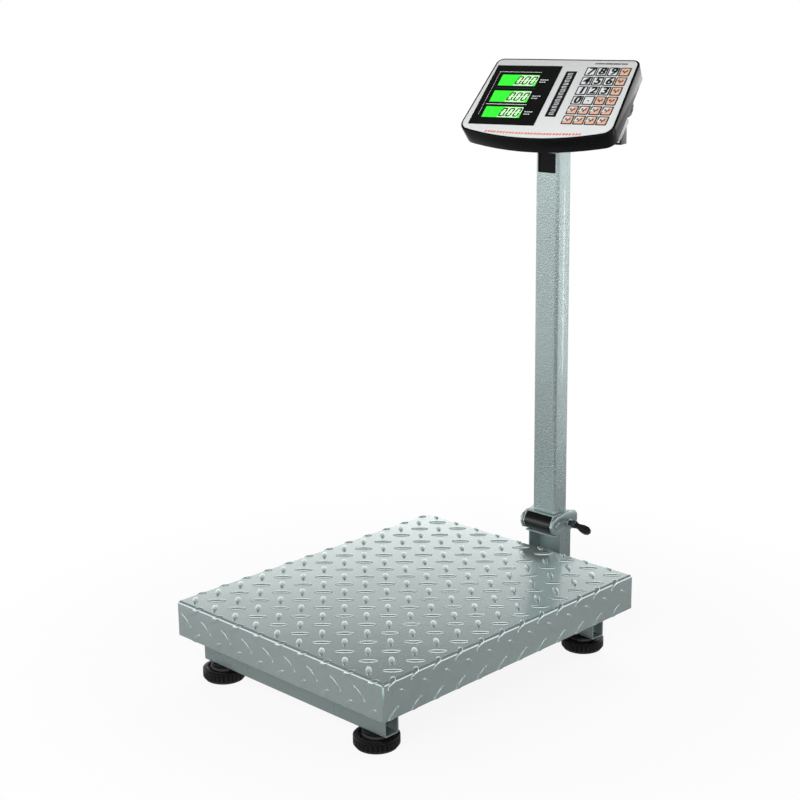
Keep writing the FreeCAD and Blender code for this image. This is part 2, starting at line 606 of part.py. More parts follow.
def make_lock():
    """A wing screw through the right ear; its brass tip bears on the shoe's cheek."""
    y = "platter_mid + lock_y"
    start = "shoe_wide / 2 + thread_play"
    tip = rod("lock_tip_rod", start, y, "lock_z", "tip_round", "tip_long", ALONG_X)
    keep(tip, "lock_tip")
    shank_start = f"{start} + tip_long"
    shank_long = f"bracket_wide / 2 + boss_long + shank_out - ({shank_start})"
    shank = rod("lock_shank", shank_start, y, "lock_z", "lock_round", shank_long, ALONG_X)
    collar = rod("lock_collar", "bracket_wide / 2 + boss_long + collar_out", y, "lock_z",
                 "collar_round", "collar_long", ALONG_X)
    body = part_body("lock_paddle_body")
    plan = sketch_on(body, "lock_paddle_plan", "XY_Plane", "-paddle_thick / 2")
    lower = [(str(along), str(-half)) for along, half in PADDLE]
    upper = [(str(along), str(half)) for along, half in reversed(PADDLE)]
    outline(plan, lower + [("paddle_long", "0")] + upper)
    pad(body, plan, "lock_paddle_plate", "paddle_thick")
    body.Placement = Placement(Vector(0, 0, 0),
                               Rotation(Vector(0, 1, 0), 12) * Rotation(Vector(1, 0, 0), 40))
    bind(body, Placement__Base__x="bracket_wide / 2 + boss_long + paddle_out", Placement__Base__y=y,
         Placement__Base__z="lock_z")
    keep(joined("lock_screw_solid", shank, collar, body), "lock_lever")


# ---------------------------------------------------------------- neck and yoke
def make_neck():
    """The moulded plug in the column's top and the bolt the yoke swivels on."""
    y = "platter_mid + post_mid"
    inner_wide = "post_wide - 2 * post_wall - 2 * plug_play"
    inner_deep = "post_deep - 2 * post_wall - 2 * plug_play"
    body = part_body("plug_body")
    plan = sketch_on(body, "plug_plan", "XY_Plane", "post_top - plug_long")
    rectangle(plan, f"-({inner_wide}) / 2", f"{y} - ({inner_deep}) / 2",
              f"({inner_wide}) / 2", f"{y} + ({inner_deep}) / 2")
    pad(body, plan, "plug_stem", "plug_long")
    round_edges(body, "plug_corners", "post_corner - post_wall", upright)
    flange = sketch_on(body, "plug_flange_plan", "XY_Plane", "post_top")
    rectangle(flange, "-post_wide / 2", f"{y} - post_deep / 2", "post_wide / 2",
              f"{y} + post_deep / 2")
    pad(body, flange, "plug_flange", "flange_thick")
    bore = sketch_on(body, "plug_bore_plan", "XY_Plane", "post_top + flange_thick")
    circle(bore, "0", y, "swivel_bolt + fit_play")
    pocket(body, bore, "plug_bore", "plug_long - 12")
    keep(body, "neck_plug")
    plate_top = "post_top + flange_thick + swivel_gap + yoke_sheet"
    washer = rod("swivel_washer_disc", "0", y, f"{plate_top} + fit_play", "washer_round",
                 "washer_thick")
    washer_bore = rod("swivel_washer_bore", "0", y, plate_top, "swivel_bolt + fit_play",
                      "washer_thick + 2")
    keep(cut("swivel_washer_cut", washer, washer_bore), "swivel_washer")
    shank_low = "post_top - 30"
    head_low = f"{plate_top} + fit_play + washer_thick"
    shank = rod("swivel_shank", "0", y, shank_low, "swivel_bolt",
                f"{head_low} - ({shank_low})")
    head = hexagon("swivel_hex", "0", y, head_low, "swivel_head", "swivel_head_thick")
    keep(joined("swivel_bolt_solid", shank, head), "swivel_bolt")


# The yoke is drawn in a frame whose origin is on the floor under the column's axis, and is then
# turned by the head's yaw about that axis.
def yawed(thing):
    thing.Placement = Placement(Vector(0, 0, 0),
                                Rotation(Vector(0, 0, 1), number("head_yaw")))
    bind(thing, Placement__Base__y="platter_mid + post_mid")
    return thing


SLOPE = {"sine": math.sin(math.radians(SIZES["head_tilt"])),
         "cosine": math.cos(math.radians(SIZES["head_tilt"]))}
# Height and distance behind the column's axis of the tilt pivot.
PIVOT_BACK = f"(-head_ahead + tilt_y * {SLOPE['cosine']} + tilt_drop * {SLOPE['sine']})"
PIVOT_HIGH = f"(face_height + tilt_y * {SLOPE['sine']} - tilt_drop * {SLOPE['cosine']})"


def make_yoke():
    """A bent strap: a tongue on the swivel, a cross strap behind it and two upright arms."""
    plate_low = "post_top + flange_thick + swivel_gap"
    arm_out = "lug_in + lug_thick + arm_gap + yoke_sheet"
    strap_near = f"{PIVOT_BACK} + strap_gap"
    strap_far = f"{strap_near} + strap_deep"
    tongue = box("yoke_tongue", "-tongue_wide / 2", "-tongue_front", plate_low, "tongue_wide",
                 f"{strap_far} + tongue_front", "yoke_sheet")
    strap = box("yoke_strap", f"-({arm_out})", strap_near, plate_low, f"2 * ({arm_out})",
                "strap_deep", "yoke_sheet")
    pieces = [tongue, strap]
    for name, start in (("left", f"-({arm_out})"), ("right", f"{arm_out} - yoke_sheet")):
        body = part_body(f"yoke_{name}_arm")
        side = sketch_on(body, f"yoke_{name}_profile", "YZ_Plane", start)
        outline(side, [
            (strap_near, plate_low), (strap_far, plate_low),
            (strap_far, f"{PIVOT_HIGH} - 18"),
            (f"{PIVOT_BACK} + yoke_lug", f"{PIVOT_HIGH}"),
            (f"{PIVOT_BACK} + yoke_lug * 0.71", f"{PIVOT_HIGH} + yoke_lug * 0.71"),
            (f"{PIVOT_BACK}", f"{PIVOT_HIGH} + yoke_lug"),
            (f"{PIVOT_BACK} - yoke_lug * 0.71", f"{PIVOT_HIGH} + yoke_lug * 0.71"),
            (f"{PIVOT_BACK} - yoke_lug", f"{PIVOT_HIGH}"),
            (f"{PIVOT_BACK} - yoke_lug * 0.71", f"{PIVOT_HIGH} - yoke_lug * 0.71"),
            (strap_near, f"{PIVOT_HIGH} - 24")])
        pad(body, side, f"yoke_{name}_sheet", "yoke_sheet")
        holes = sketch_on(body, f"yoke_{name}_holes", "YZ_Plane", start)
        circle(holes, PIVOT_BACK, PIVOT_HIGH, "yoke_bore")
        pocket(body, holes, f"yoke_{name}_bore", "yoke_sheet", reverse=True)
        pieces.append(body)
    bore = rod("yoke_swivel_bore", "0", "0", f"{plate_low} - 1", "swivel_bolt + fit_play",
               "yoke_sheet + 2")
    keep(yawed(cut("yoke_cut", joined("yoke_weldment", *pieces), bore)), "head_yoke")


# ---------------------------------------------------------------- indicator head
# Every piece of the head is drawn in the head's own frame: x to the right, y up the face,
# z out of the face, origin in the middle of the face. The frame is then tilted and yawed.
HEAD_TURN = (Rotation(Vector(0, 0, 1), SIZES["head_yaw"])
             * Rotation(Vector(1, 0, 0), SIZES["head_tilt"]))


def on_head(thing):
    if thing.TypeId in ("Part::Box", "Part::Cylinder"):
        thing = group(thing.Name + "_placed", [thing])
    thing.Placement = Placement(Vector(0, 0, 0), HEAD_TURN)
    yaw = math.radians(SIZES["head_yaw"])
    bind(thing, Placement__Base__x=f"head_ahead * {math.sin(yaw)}",
         Placement__Base__y=f"platter_mid + post_mid - head_ahead * {math.cos(yaw)}",
         Placement__Base__z="face_height")
    return thing


def case_outline(sketch, inset):
    """The head's plan: sides that draw in to the rear and a front edge bowed out as one arc."""
    half, rear, front = (f"(head_wide / 2 - ({inset}))", f"(head_deep / 2 - ({inset}))",
                         f"(-head_deep / 2 + ({inset}))")
    left_front = Vector(-number(half), number(front), 0)
    right_front = Vector(number(half), number(front), 0)
    nose = Vector(0, number(f"{front} - head_bow"), 0)
    rear_half = f"({half} - rear_taper)"
    left_rear = Vector(-number(rear_half), number(rear), 0)
    right_rear = Vector(number(rear_half), number(rear), 0)
    first = sketch.GeometryCount
    sketch.addGeometry(Part.Arc(left_front, nose, right_front), False)
    sketch.addGeometry(Part.LineSegment(right_front, right_rear), False)
    sketch.addGeometry(Part.LineSegment(right_rear, left_rear), False)
    sketch.addGeometry(Part.LineSegment(left_rear, left_front), False)
    for one, end, other, start in ((0, 2, 1, 1), (1, 2, 2, 1), (2, 2, 3, 1), (3, 2, 0, 1)):
        sketch.addConstraint(
            Sketcher.Constraint("Coincident", first + one, end, first + other, start))
    fix_point(sketch, first + 1, 1, half, front)
    fix_point(sketch, first + 1, 2, rear_half, rear)
    fix_point(sketch, first + 3, 1, f"-{rear_half}", rear)
    fix_point(sketch, first + 3, 2, f"-{half}", front)
    arc = sketch.Geometry[first]
    swell = f"({half} * {half} + head_bow * head_bow) / (2 * head_bow)"
    size = sketch.addConstraint(Sketcher.Constraint("Radius", first, arc.Radius))
    sketch.setExpression(f"Constraints[{size}]", full(swell))


def corner_test(inset, front):
    """Pick the upright corner edges at the front or at the rear of a case outline."""
    x = number(f"head_wide / 2 - ({inset})" + ("" if front else " - rear_taper"))
    y = number(f"-head_deep / 2 + ({inset})") if front else number(f"head_deep / 2 - ({inset})")
    return lambda edge: (upright(edge) and abs(abs(edge.CenterOfMass.x) - x) < 0.05
                         and abs(edge.CenterOfMass.y - y) < 0.05)


SCREW_SPOTS = [(f"{side} * {x}", y) for side in ("-1", "1")
               for x, y in (("(head_wide / 4)", "-head_deep / 2 - 5"),
                            ("(head_wide / 2 - rear_taper - 10)", "head_deep / 2 - 12"))]


def case_block(name, inset, top, tall):
    """A slab in the head's plan, drawn in by an inset, with its four corners rounded."""
    body = part_body(name)
    plan = sketch_on(body, f"{name}_plan", "XY_Plane", top)
    case_outline(plan, inset)
    pad(body, plan, f"{name}_slab", tall, reverse=True)
    round_edges(body, f"{name}_rear", f"rear_corner - ({inset})", corner_test(inset, False))
    round_edges(body, f"{name}_front", f"front_corner - ({inset})", corner_test(inset, True))
    return body


def make_upper_case():
    """The black upper shell: a face plate with a skirt all round and four screw bosses."""
    block = case_block("upper_case_block", "0", "-overlay_thick", "head_tall - overlay_thick")
    inside = case_block("upper_case_inside", "head_wall", "-overlay_thick - head_wall",
                        "head_tall")
    window = box("display_opening", "window_left", "window_near",
                 "-overlay_thick - head_wall - 1", "window_right - window_left",
                 "window_far - window_near", "head_wall + 2")
    shell = cut("upper_case_shell", block, inside, window)
    bosses, bores = [], []
    for x, y in SCREW_SPOTS:
        bosses.append(rod("screw_boss_post", x, y, "-floor_top", "screw_boss",
                          "floor_top - overlay_thick - head_wall + 0.5"))
        bores.append(rod("screw_boss_bore", x, y, "-floor_top - 1", "screw_round + fit_play", "6.5"))
    keep(on_head(cut("upper_case_moulding", joined("upper_case_bossed", shell, *bosses),
                     *bores)), "head_upper_case")


def make_overlay():
    """The printed membrane over the face, with its window over the display."""
    membrane = case_block("overlay_slab", "overlay_inset", "0", "overlay_thick")
    window = box("overlay_opening", "window_left", "window_near", "-overlay_thick - 1",
                 "window_right - window_left", "window_far - window_near",
                 "overlay_thick + 2")
    keep(on_head(cut("overlay_sheet", membrane, window)), "keypad_overlay")


# The three lit panels: name, lower edge up the face and height.
LCD_ROWS = [("weight", 14.7, 23.1), ("unit_price", -19.0, 23.4), ("total_price", -50.4, 22.0)]


def make_display():
    """A smoked lens over three lit glass panels on the main board."""
    lens = box("lens_sheet", "window_left + 0.1", "window_near + 0.1", "-lens_thick",
               "window_right - window_left - 0.2", "window_far - window_near - 0.2",
               "lens_thick")
    keep(on_head(lens), "display_lens")
    panel_low = "-lens_thick - 0.2 - lcd_thick"
    for label, low, tall in LCD_ROWS:
        panel = box(f"{label}_panel", "lcd_left", str(low), panel_low,
                    "lcd_right - lcd_left", str(tall), "lcd_thick")
        keep(on_head(panel), f"lcd_{label}")
    board_low = f"{panel_low} - board_thick"
    board = box("board_sheet", "window_left + 2", "window_near - 2", board_low, "board_wide",
                "window_far - window_near", "board_thick")
    keep(on_head(board), "main_board")


def make_lower_case():
    """The floor that closes the shell, with the two lugs for the tilt pivot."""
    slab = case_block("floor_slab", "head_wall + 0.3", "-floor_top", "floor_thick")
    holes = [rod("floor_screw_hole", x, y, "-floor_top - floor_thick - 1", "screw_round + 0.2",
                 "floor_thick + 2") for x, y in SCREW_SPOTS]
    floor = cut("floor_drilled", slab, *holes)
    lugs = []
    for name, start in (("left", "-lug_in - lug_thick"), ("right", "lug_in")):
        lug_body = part_body(f"lug_{name}")
        side = sketch_on(lug_body, f"lug_{name}_profile", "YZ_Plane", start)
        top = "-floor_top - floor_thick + 0.5"
        outline(side, [
            ("tilt_y - lug_round", top), ("tilt_y - lug_round", "-tilt_drop"),
            ("tilt_y - lug_round * 0.71", "-tilt_drop - lug_round * 0.71"),
            ("tilt_y", "-tilt_drop - lug_round"),
            ("tilt_y + lug_round * 0.71", "-tilt_drop - lug_round * 0.71"),
            ("tilt_y + lug_round", "-tilt_drop"), ("tilt_y + lug_round", top)])
        pad(lug_body, side, f"lug_{name}_block", "lug_thick")
        hole = sketch_on(lug_body, f"lug_{name}_hole", "YZ_Plane", start)
        circle(hole, "tilt_y", "-tilt_drop", "knob_stud + fit_play")
        pocket(lug_body, hole, f"lug_{name}_bore", "lug_thick", reverse=True)
        lugs.append(lug_body)
    keep(on_head(joined("lower_case_moulding", floor, *lugs)), "head_lower_case")
    screws = []
    for x, y in SCREW_SPOTS:
        shank = rod("case_screw_shank", x, y, "-floor_top - floor_thick", "screw_round",
                    "floor_thick + 5")
        head = rod("case_screw_head", x, y, "-floor_top - floor_thick - screw_head_thick",
                   "screw_head", "screw_head_thick")
        screws.append(joined("case_screw", shank, head))
    keep(on_head(group("case_screw_set", screws)), "case_screws")


def make_pod():
    """The grey battery pod under the front of the head, with a channel that clears the column."""
    low, top = "-pod_deep", "-floor_top - floor_thick"
    body = part_body("pod_body")
    plan = sketch_on(body, "pod_plan", "XY_Plane", top)
    rectangle(plan, "-pod_wide / 2", "pod_near", "pod_wide / 2", "pod_far")
    pad(body, plan, "pod_block", f"{top} - ({low})", reverse=True)
    near = number("pod_near")
    round_edges(body, "pod_corners", "pod_corner",
                lambda edge: upright(edge) and abs(edge.CenterOfMass.y - near) < 0.01)
    bottom = number(low)
    round_edges(body, "pod_bottom_edge", "pod_rim",
                lambda edge: abs(edge.CenterOfMass.z - bottom) < 0.01)
    rooms = []
    for name, x_low in (("left", "-pod_wide / 2 + pod_wall"),
                        ("right", "channel_wide / 2 + pod_wall")):
        rooms.append(box(f"pod_{name}_room", x_low, "pod_near + pod_wall + pod_room",
                         f"{low} + pod_wall + pod_room",
                         "pod_wide / 2 - channel_wide / 2 - 2 * pod_wall",
                         "pod_far - pod_near - 2 * pod_wall - pod_room",
                         f"{top} - ({low}) - pod_wall - pod_room + 1"))
    channel = box("pod_channel", "-channel_wide / 2", "pod_near - 1", f"{low} - 1",
                  "channel_wide", "pod_far - pod_near + 2", "pod_deep - channel_drop + 1")
    keep(on_head(cut("pod_shell", body, channel, *rooms)), "battery_pod")
    keep(on_head(box("battery_block", "channel_wide / 2 + pod_wall + 3", "pod_near + battery_in",
                     f"{low} + pod_wall + pod_room", "battery_wide", "battery_deep",
                     "battery_tall")), "battery_pack")
    keep(on_head(box("door_sheet", "channel_wide / 2 + door_in", "pod_near + battery_in",
                     f"{low} - door_thick", "door_wide", "door_deep", "door_thick")),
         "battery_door")


def make_sockets():
    """The charging socket in the pod's rear wall and the cable gland in the floor behind it."""
    under = "-floor_top - floor_thick"
    barrel = rod("socket_barrel", "-socket_left", "pod_far", f"{under} - socket_drop",
                 "socket_round", "socket_long", ALONG_Y)
    hole = rod("socket_hole", "-socket_left", "pod_far - 1", f"{under} - socket_drop",
               "socket_bore", "socket_long + 2", ALONG_Y)
    keep(on_head(cut("socket_cut", barrel, hole)), "charging_socket")
    gland = rod("gland_nut", "0", "gland_back", f"{under} - gland_long", "gland_round",
                "gland_long")
    gland_bore = rod("gland_bore_hole", "0", "gland_back", f"{under} - gland_long - 1", "gland_bore",
                     "gland_long - 1")
    keep(on_head(cut("gland_cut", gland, gland_bore)), "cable_gland")


# Knobs sit on the tilt pivot: drawn about their own axis along X, then placed in the yoke's frame.
def make_knob(name, side):
    body = part_body(f"knob_{name}")
    plan = sketch_on(body, f"knob_{name}_plan", "YZ_Plane")
    circle(plan, "0", "0", "knob_round - knob_lobe * 0.6")
    pad(body, plan, f"knob_{name}_disc", "knob_thick")
    lobe = sketch_on(body, f"knob_{name}_lobe_plan", "YZ_Plane")
    circle(lobe, "knob_round - knob_lobe", "0", "knob_lobe")
    lobe_pad = pad(body, lobe, f"knob_{name}_lobe", "knob_thick")
    pattern = body.newObject("PartDesign::PolarPattern", f"knob_{name}_lobes")
    pattern.Originals = [lobe_pad]
    pattern.Axis = ([one for one in body.Origin.OriginFeatures if one.Role == "X_Axis"][0], [""])
    pattern.Angle = 360
    pattern.setExpression("Occurrences", full("knob_lobes"))
    body.Tip = pattern
    doc.recompute()
    stud = sketch_on(body, f"knob_{name}_stud_plan", "YZ_Plane", "0.5")
    circle(stud, "0", "0", "knob_stud")
    pad(body, stud, f"knob_{name}_stud", "knob_stud_long + 0.5", reverse=True)
    yaw = Rotation(Vector(0, 0, 1), number("head_yaw"))
    flip = Rotation(Vector(0, 0, 1), 180 if side < 0 else 0)
    body.Placement = Placement(Vector(0, 0, 0), yaw * flip)
    reach = f"(lug_in + lug_thick + 2 * arm_gap + yoke_sheet) * {side}"
    sine, cosine = (math.sin(math.radians(SIZES["head_yaw"])),
                    math.cos(math.radians(SIZES["head_yaw"])))
    bind(body, Placement__Base__x=f"{reach} * {cosine} - {PIVOT_BACK} * {sine}",
         Placement__Base__y=f"platter_mid + post_mid + {reach} * {sine} "
                            f"+ {PIVOT_BACK} * {cosine}",
         Placement__Base__z=PIVOT_HIGH)
    keep(body, f"tilt_knob_{name}")


# ---------------------------------------------------------------- build, check and write
make_platter()
make_base()
make_feet()
make_load_cell()
make_carrier()
make_bracket()
make_shoe()
make_hinge_pin()
make_post()
make_lock()
make_neck()
make_yoke()
make_upper_case()
make_overlay()
make_display()
make_lower_case()
make_pod()
make_sockets()
make_knob("left", -1)
make_knob("right", 1)
doc.recompute()

for thing in doc.Objects:
    if "Invalid" in thing.State or "Error" in thing.State:
        raise RuntimeError(f"{thing.Name} failed: {thing.State}")
for thing in kept:
    if thing.Shape.isNull() or not thing.Shape.isValid() or not thing.Shape.Solids:
        raise RuntimeError(f"{thing.Label} has no valid solid")

os.makedirs("parts", exist_ok=True)
whole = FreeCAD.BoundBox()
for thing in kept:
    thing.Shape.exportStep(f"parts/{thing.Label}.step")
    whole.add(thing.Shape.BoundBox)
print(len(kept), "sub-parts; box", [round(v, 1) for v in
      (whole.XMin, whole.XMax, whole.YMin, whole.YMax, whole.ZMin, whole.ZMax)])
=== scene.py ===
import bpy, bmesh, json, math
from mathutils import Matrix, Vector


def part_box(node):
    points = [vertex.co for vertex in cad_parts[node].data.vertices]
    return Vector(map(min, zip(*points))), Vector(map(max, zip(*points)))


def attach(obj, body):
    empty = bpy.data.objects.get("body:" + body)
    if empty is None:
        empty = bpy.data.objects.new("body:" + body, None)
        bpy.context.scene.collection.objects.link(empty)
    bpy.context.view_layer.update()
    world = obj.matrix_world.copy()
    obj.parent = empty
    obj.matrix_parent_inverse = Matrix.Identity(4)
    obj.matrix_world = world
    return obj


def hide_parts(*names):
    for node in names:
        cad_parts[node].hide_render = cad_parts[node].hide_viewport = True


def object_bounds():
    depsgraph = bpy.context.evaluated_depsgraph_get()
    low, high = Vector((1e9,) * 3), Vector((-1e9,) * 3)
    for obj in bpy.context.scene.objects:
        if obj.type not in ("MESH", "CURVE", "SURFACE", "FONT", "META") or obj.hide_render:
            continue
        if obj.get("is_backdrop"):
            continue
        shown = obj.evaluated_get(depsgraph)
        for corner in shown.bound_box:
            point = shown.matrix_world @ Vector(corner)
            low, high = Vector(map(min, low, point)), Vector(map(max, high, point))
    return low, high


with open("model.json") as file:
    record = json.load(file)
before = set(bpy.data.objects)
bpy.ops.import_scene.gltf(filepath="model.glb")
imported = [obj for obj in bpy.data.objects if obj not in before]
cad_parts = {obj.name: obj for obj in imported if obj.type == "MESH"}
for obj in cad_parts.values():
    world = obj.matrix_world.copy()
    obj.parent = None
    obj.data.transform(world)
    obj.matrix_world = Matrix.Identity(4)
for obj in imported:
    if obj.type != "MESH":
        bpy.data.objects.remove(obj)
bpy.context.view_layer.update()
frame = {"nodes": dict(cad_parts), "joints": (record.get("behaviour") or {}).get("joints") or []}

scene = bpy.context.scene

# ---------------------------------------------------------------- studio: floor, lights, camera
# A white floor and backdrop. Reflections see a surround that is bright at the horizon and dark
# overhead, which keeps the tilted display black. The camera stands off the scale's front right
# corner, a little above.
platter_low, platter_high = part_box("platter")
platter_middle = (platter_low + platter_high) / 2
platter_top = platter_high.z
SURROUND = ((0.0, 2.20), (0.10, 2.00), (0.22, 1.30), (0.34, 0.85), (0.50, 0.25), (0.75, 0.07))
FLOOR_SIZE, FLOOR_DROP = 14.0, 0.0002
PAPER_TONE, PAPER_DULL, PAPER_SHEEN = 0.80, 0.9, 0.1
NEAR_REACH, NEAR_FLOOR, FAR_REACH, FAR_FLOOR = 0.6, 0.27, 1.3, 0.80
VIEWER_SIDE, VIEWER_SHADE = (0.7, -0.7, 0.0), 0.10
VIEWER_NEAR, VIEWER_FAR = 0.15, 0.8
FLOOR_SHADE, FLOOR_FADES, FLOOR_WHITE = 0.90, 0.35, 0.75
LENS, SENSOR = 71.38, 36.0
CAMERA_RIGHT, CAMERA_FRONT, CAMERA_UP = 1.4504, 1.4796, 0.8126
CAMERA_TURN, CAMERA_DOWN, CAMERA_ROLL = 44.66, 14.675, -0.78

scene.view_settings.view_transform = "Standard"
studio = bpy.data.worlds.new("studio")
scene.world = studio
studio.use_nodes = True
glow = studio.node_tree.nodes
surround = glow["Background"]
height = glow.new("ShaderNodeSeparateXYZ")
shades = glow.new("ShaderNodeValToRGB")
while len(shades.color_ramp.elements) < len(SURROUND):
    shades.color_ramp.elements.new(0.5)
for shade, (rise, level) in zip(shades.color_ramp.elements, SURROUND):
    shade.position = rise
    shade.color = (level, level, level, 1)
seen = glow.new("ShaderNodeLightPath")
backdrop = glow.new("ShaderNodeBackground")
backdrop.inputs["Color"].default_value = (1, 1, 1, 1)
either = glow.new("ShaderNodeMixShader")
studio.node_tree.links.new(glow.new("ShaderNodeTexCoord").outputs["Generated"], height.inputs[0])
studio.node_tree.links.new(height.outputs["Z"], shades.inputs["Fac"])
studio.node_tree.links.new(shades.outputs["Color"], surround.inputs["Color"])
studio.node_tree.links.new(seen.outputs["Is Camera Ray"], either.inputs[0])
studio.node_tree.links.new(surround.outputs[0], either.inputs[1])
studio.node_tree.links.new(backdrop.outputs[0], either.inputs[2])
studio.node_tree.links.new(either.outputs[0], glow["World Output"].inputs["Surface"])

bpy.ops.object.select_all(action="DESELECT")
bpy.ops.mesh.primitive_plane_add(size=FLOOR_SIZE, location=(0, 0, -FLOOR_DROP))
floor = bpy.context.object
floor.name = "studio_floor"
floor_paint = bpy.data.materials.new("floor_paper")
floor_paint.use_nodes = True
paper_tree = floor_paint.node_tree
paper = paper_tree.nodes["Principled BSDF"]
paper.inputs["Base Color"].default_value = (PAPER_TONE, PAPER_TONE, PAPER_TONE, 1)
paper.inputs["Roughness"].default_value = PAPER_DULL
paper.inputs["Specular IOR Level"].default_value = PAPER_SHEEN
floor.data.materials.append(floor_paint)
floor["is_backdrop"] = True


def paper_node(kind, **values):
    """A shader node of the floor with its inputs set."""
    made = paper_tree.nodes.new("ShaderNode" + kind)
    for label, value in values.items():
        made.inputs[label.replace("_", " ")].default_value = value
    return made


# The paper turns to plain white away from the scale; in reflections it is darker near the
# scale and in front of it than far off.
away = paper_node("VectorMath")
away.operation = "LENGTH"
fade = paper_node("MapRange", From_Min=FLOOR_FADES, From_Max=FLOOR_WHITE, To_Min=FLOOR_SHADE)
shown = paper_node("Math")
shown.operation = "MULTIPLY"
far = paper_node("MapRange", From_Min=NEAR_REACH, From_Max=FAR_REACH, To_Min=NEAR_FLOOR,
                 To_Max=FAR_FLOOR)
toward = paper_node("VectorMath")
toward.operation = "DOT_PRODUCT"
toward.inputs[1].default_value = VIEWER_SIDE
shaded = paper_node("MapRange", From_Min=VIEWER_NEAR, From_Max=VIEWER_FAR, To_Min=1.0,
                    To_Max=VIEWER_SHADE)
dimmed = paper_node("Math")
dimmed.operation = "MULTIPLY"
on_floor = paper_node("TexCoord").outputs["Object"]
white = paper_node("Emission", Color=(1, 1, 1, 1))
mirrored = paper_node("Emission")
seen_floor = paper_node("MixShader")
all_floor = paper_node("MixShader")
paper_path = paper_node("LightPath")
for start, end in (
        (on_floor, away.inputs[0]),
        (on_floor, toward.inputs[0]),
        (toward.outputs["Value"], shaded.inputs["Value"]),
        (away.outputs["Value"], fade.inputs["Value"]),
        (away.outputs["Value"], far.inputs["Value"]),
        (far.outputs["Result"], dimmed.inputs[0]),
        (shaded.outputs["Result"], dimmed.inputs[1]),
        (dimmed.outputs[0], mirrored.inputs["Strength"]),
        (fade.outputs["Result"], shown.inputs[0]),
        (paper_path.outputs["Is Camera Ray"], shown.inputs[1]),
        (shown.outputs[0], seen_floor.inputs[0]),
        (paper.outputs[0], seen_floor.inputs[1]),
        (white.outputs[0], seen_floor.inputs[2]),
        (paper_path.outputs["Is Glossy Ray"], all_floor.inputs[0]),
        (seen_floor.outputs[0], all_floor.inputs[1]),
        (mirrored.outputs[0], all_floor.inputs[2]),
        (all_floor.outputs[0], paper_tree.nodes["Material Output"].inputs["Surface"])):
    paper_tree.links.new(start, end)


def area_light(name, stand, aim, size, power, tall=None, mirrored=True):
    """A lamp aimed at a point; one that isn't mirrored stays out of reflections."""
    light = bpy.data.lights.new(name, "AREA")
    light.energy = power
    light.size = size
    if tall:
        light.shape = "RECTANGLE"
        light.size_y = tall
    lamp = bpy.data.objects.new(name, light)
    scene.collection.objects.link(lamp)
    lamp.location = stand
    lamp.rotation_mode = "QUATERNION"
    lamp.rotation_quaternion = (Vector(aim) - Vector(stand)).to_track_quat("-Z", "Y")
    lamp.visible_camera = False
    lamp.visible_glossy = mirrored


area_light("rear_left_key", stand=(-1.3, 2.1, 2.0), aim=(0, 0, 0.15), size=1.3, power=45,
           mirrored=False)
area_light("post_strip", stand=(0.95, 1.40, 0.175), aim=(0, 0.24, 0.4), size=0.05, power=0.8,
           tall=0.55)
area_light("front_fill", stand=(0.9, -2.4, 1.6), aim=(0, 0, 0.4), size=1.6, power=52,
           mirrored=False)

lens = bpy.data.cameras.new("front_right_corner")
lens.lens = LENS
lens.sensor_width = SENSOR
camera = bpy.data.objects.new("front_right_corner", lens)
scene.collection.objects.link(camera)
stand = Vector((platter_middle.x + CAMERA_RIGHT, platter_middle.y - CAMERA_FRONT,
                platter_top + CAMERA_UP))
camera.matrix_world = (Matrix.Translation(stand)
                       @ Matrix.Rotation(math.radians(CAMERA_TURN), 4, "Z")
                       @ Matrix.Rotation(math.radians(90 - CAMERA_DOWN), 4, "X")
                       @ Matrix.Rotation(math.radians(CAMERA_ROLL), 4, "Z"))
scene.camera = camera


# ---------------------------------------------------------------- platter
# The platter is one sheet of checker plate with four skirts folded down; the tread bars run
# over the folds and are sheared off at the skirts' lower edge. Grey-green silver enamel.
FOLD, FOLD_STEPS = 0.004, 6
SHEET = 0.002
CORNER_SLIT = 0.0019
TREAD_LONG, TREAD_WIDE, TREAD_HIGH = 0.0272, 0.0086, 0.0015
TREAD_STEP_X, TREAD_STEP_Y = 0.0424, 0.0402
TREAD_FIRST = Vector((-0.1597, -0.2128, 0))
TREAD_TURN = math.radians(43.2)
TREAD_COLUMNS, TREAD_ROWS = range(-3, 13), range(-3, 15)
BAR_PINCH, BAR_SWELL, BAR_SINK = 0.28, 0.6, 0.0004
CORNER_CLEAR, EDGE_REACH, EDGE_TRIM = 0.010, 0.004, 0.0002
TOUCH = 0.00001


def clear():
    """Leave edit mode and deselect everything."""
    if bpy.context.mode != "OBJECT":
        bpy.ops.object.mode_set(mode="OBJECT")
    bpy.ops.object.select_all(action="DESELECT")


def edit(piece, mode="FACE"):
    """Open one piece in edit mode with nothing picked."""
    clear()
    piece.select_set(True)
    bpy.context.view_layer.objects.active = piece
    bpy.ops.object.mode_set(mode="EDIT")
    bpy.ops.mesh.select_mode(type=mode)
    bpy.ops.mesh.select_all(action="DESELECT")
    return piece


def pick(piece, kind, test):
    """In edit mode, pick the faces, edges or verts that the test accepts."""
    mesh = bmesh.from_edit_mesh(piece.data)
    for one in getattr(mesh, kind):
        one.select_set(bool(test(one)))
    if kind == "verts":
        mesh.select_flush(True)
    bmesh.update_edit_mesh(piece.data)


def mid(thing):
    """The middle of an edge or a face."""
    if hasattr(thing, "calc_center_median"):
        return thing.calc_center_median()
    return (thing.verts[0].co + thing.verts[1].co) / 2


def runs_along(edge, axis):
    """Whether an edge is parallel to an axis."""
    way = (edge.verts[1].co - edge.verts[0].co).normalized()
    return abs(way[axis]) > 0.999


def block(name, low, high):
    """A cube stretched between two corners, its place applied to its mesh."""
    clear()
    low, high = Vector(low), Vector(high)
    bpy.ops.mesh.primitive_cube_add(size=1, location=(low + high) / 2)
    piece = bpy.context.object
    piece.name = name
    piece.scale = high - low
    bpy.ops.object.transform_apply(location=True, rotation=True, scale=True)
    return piece


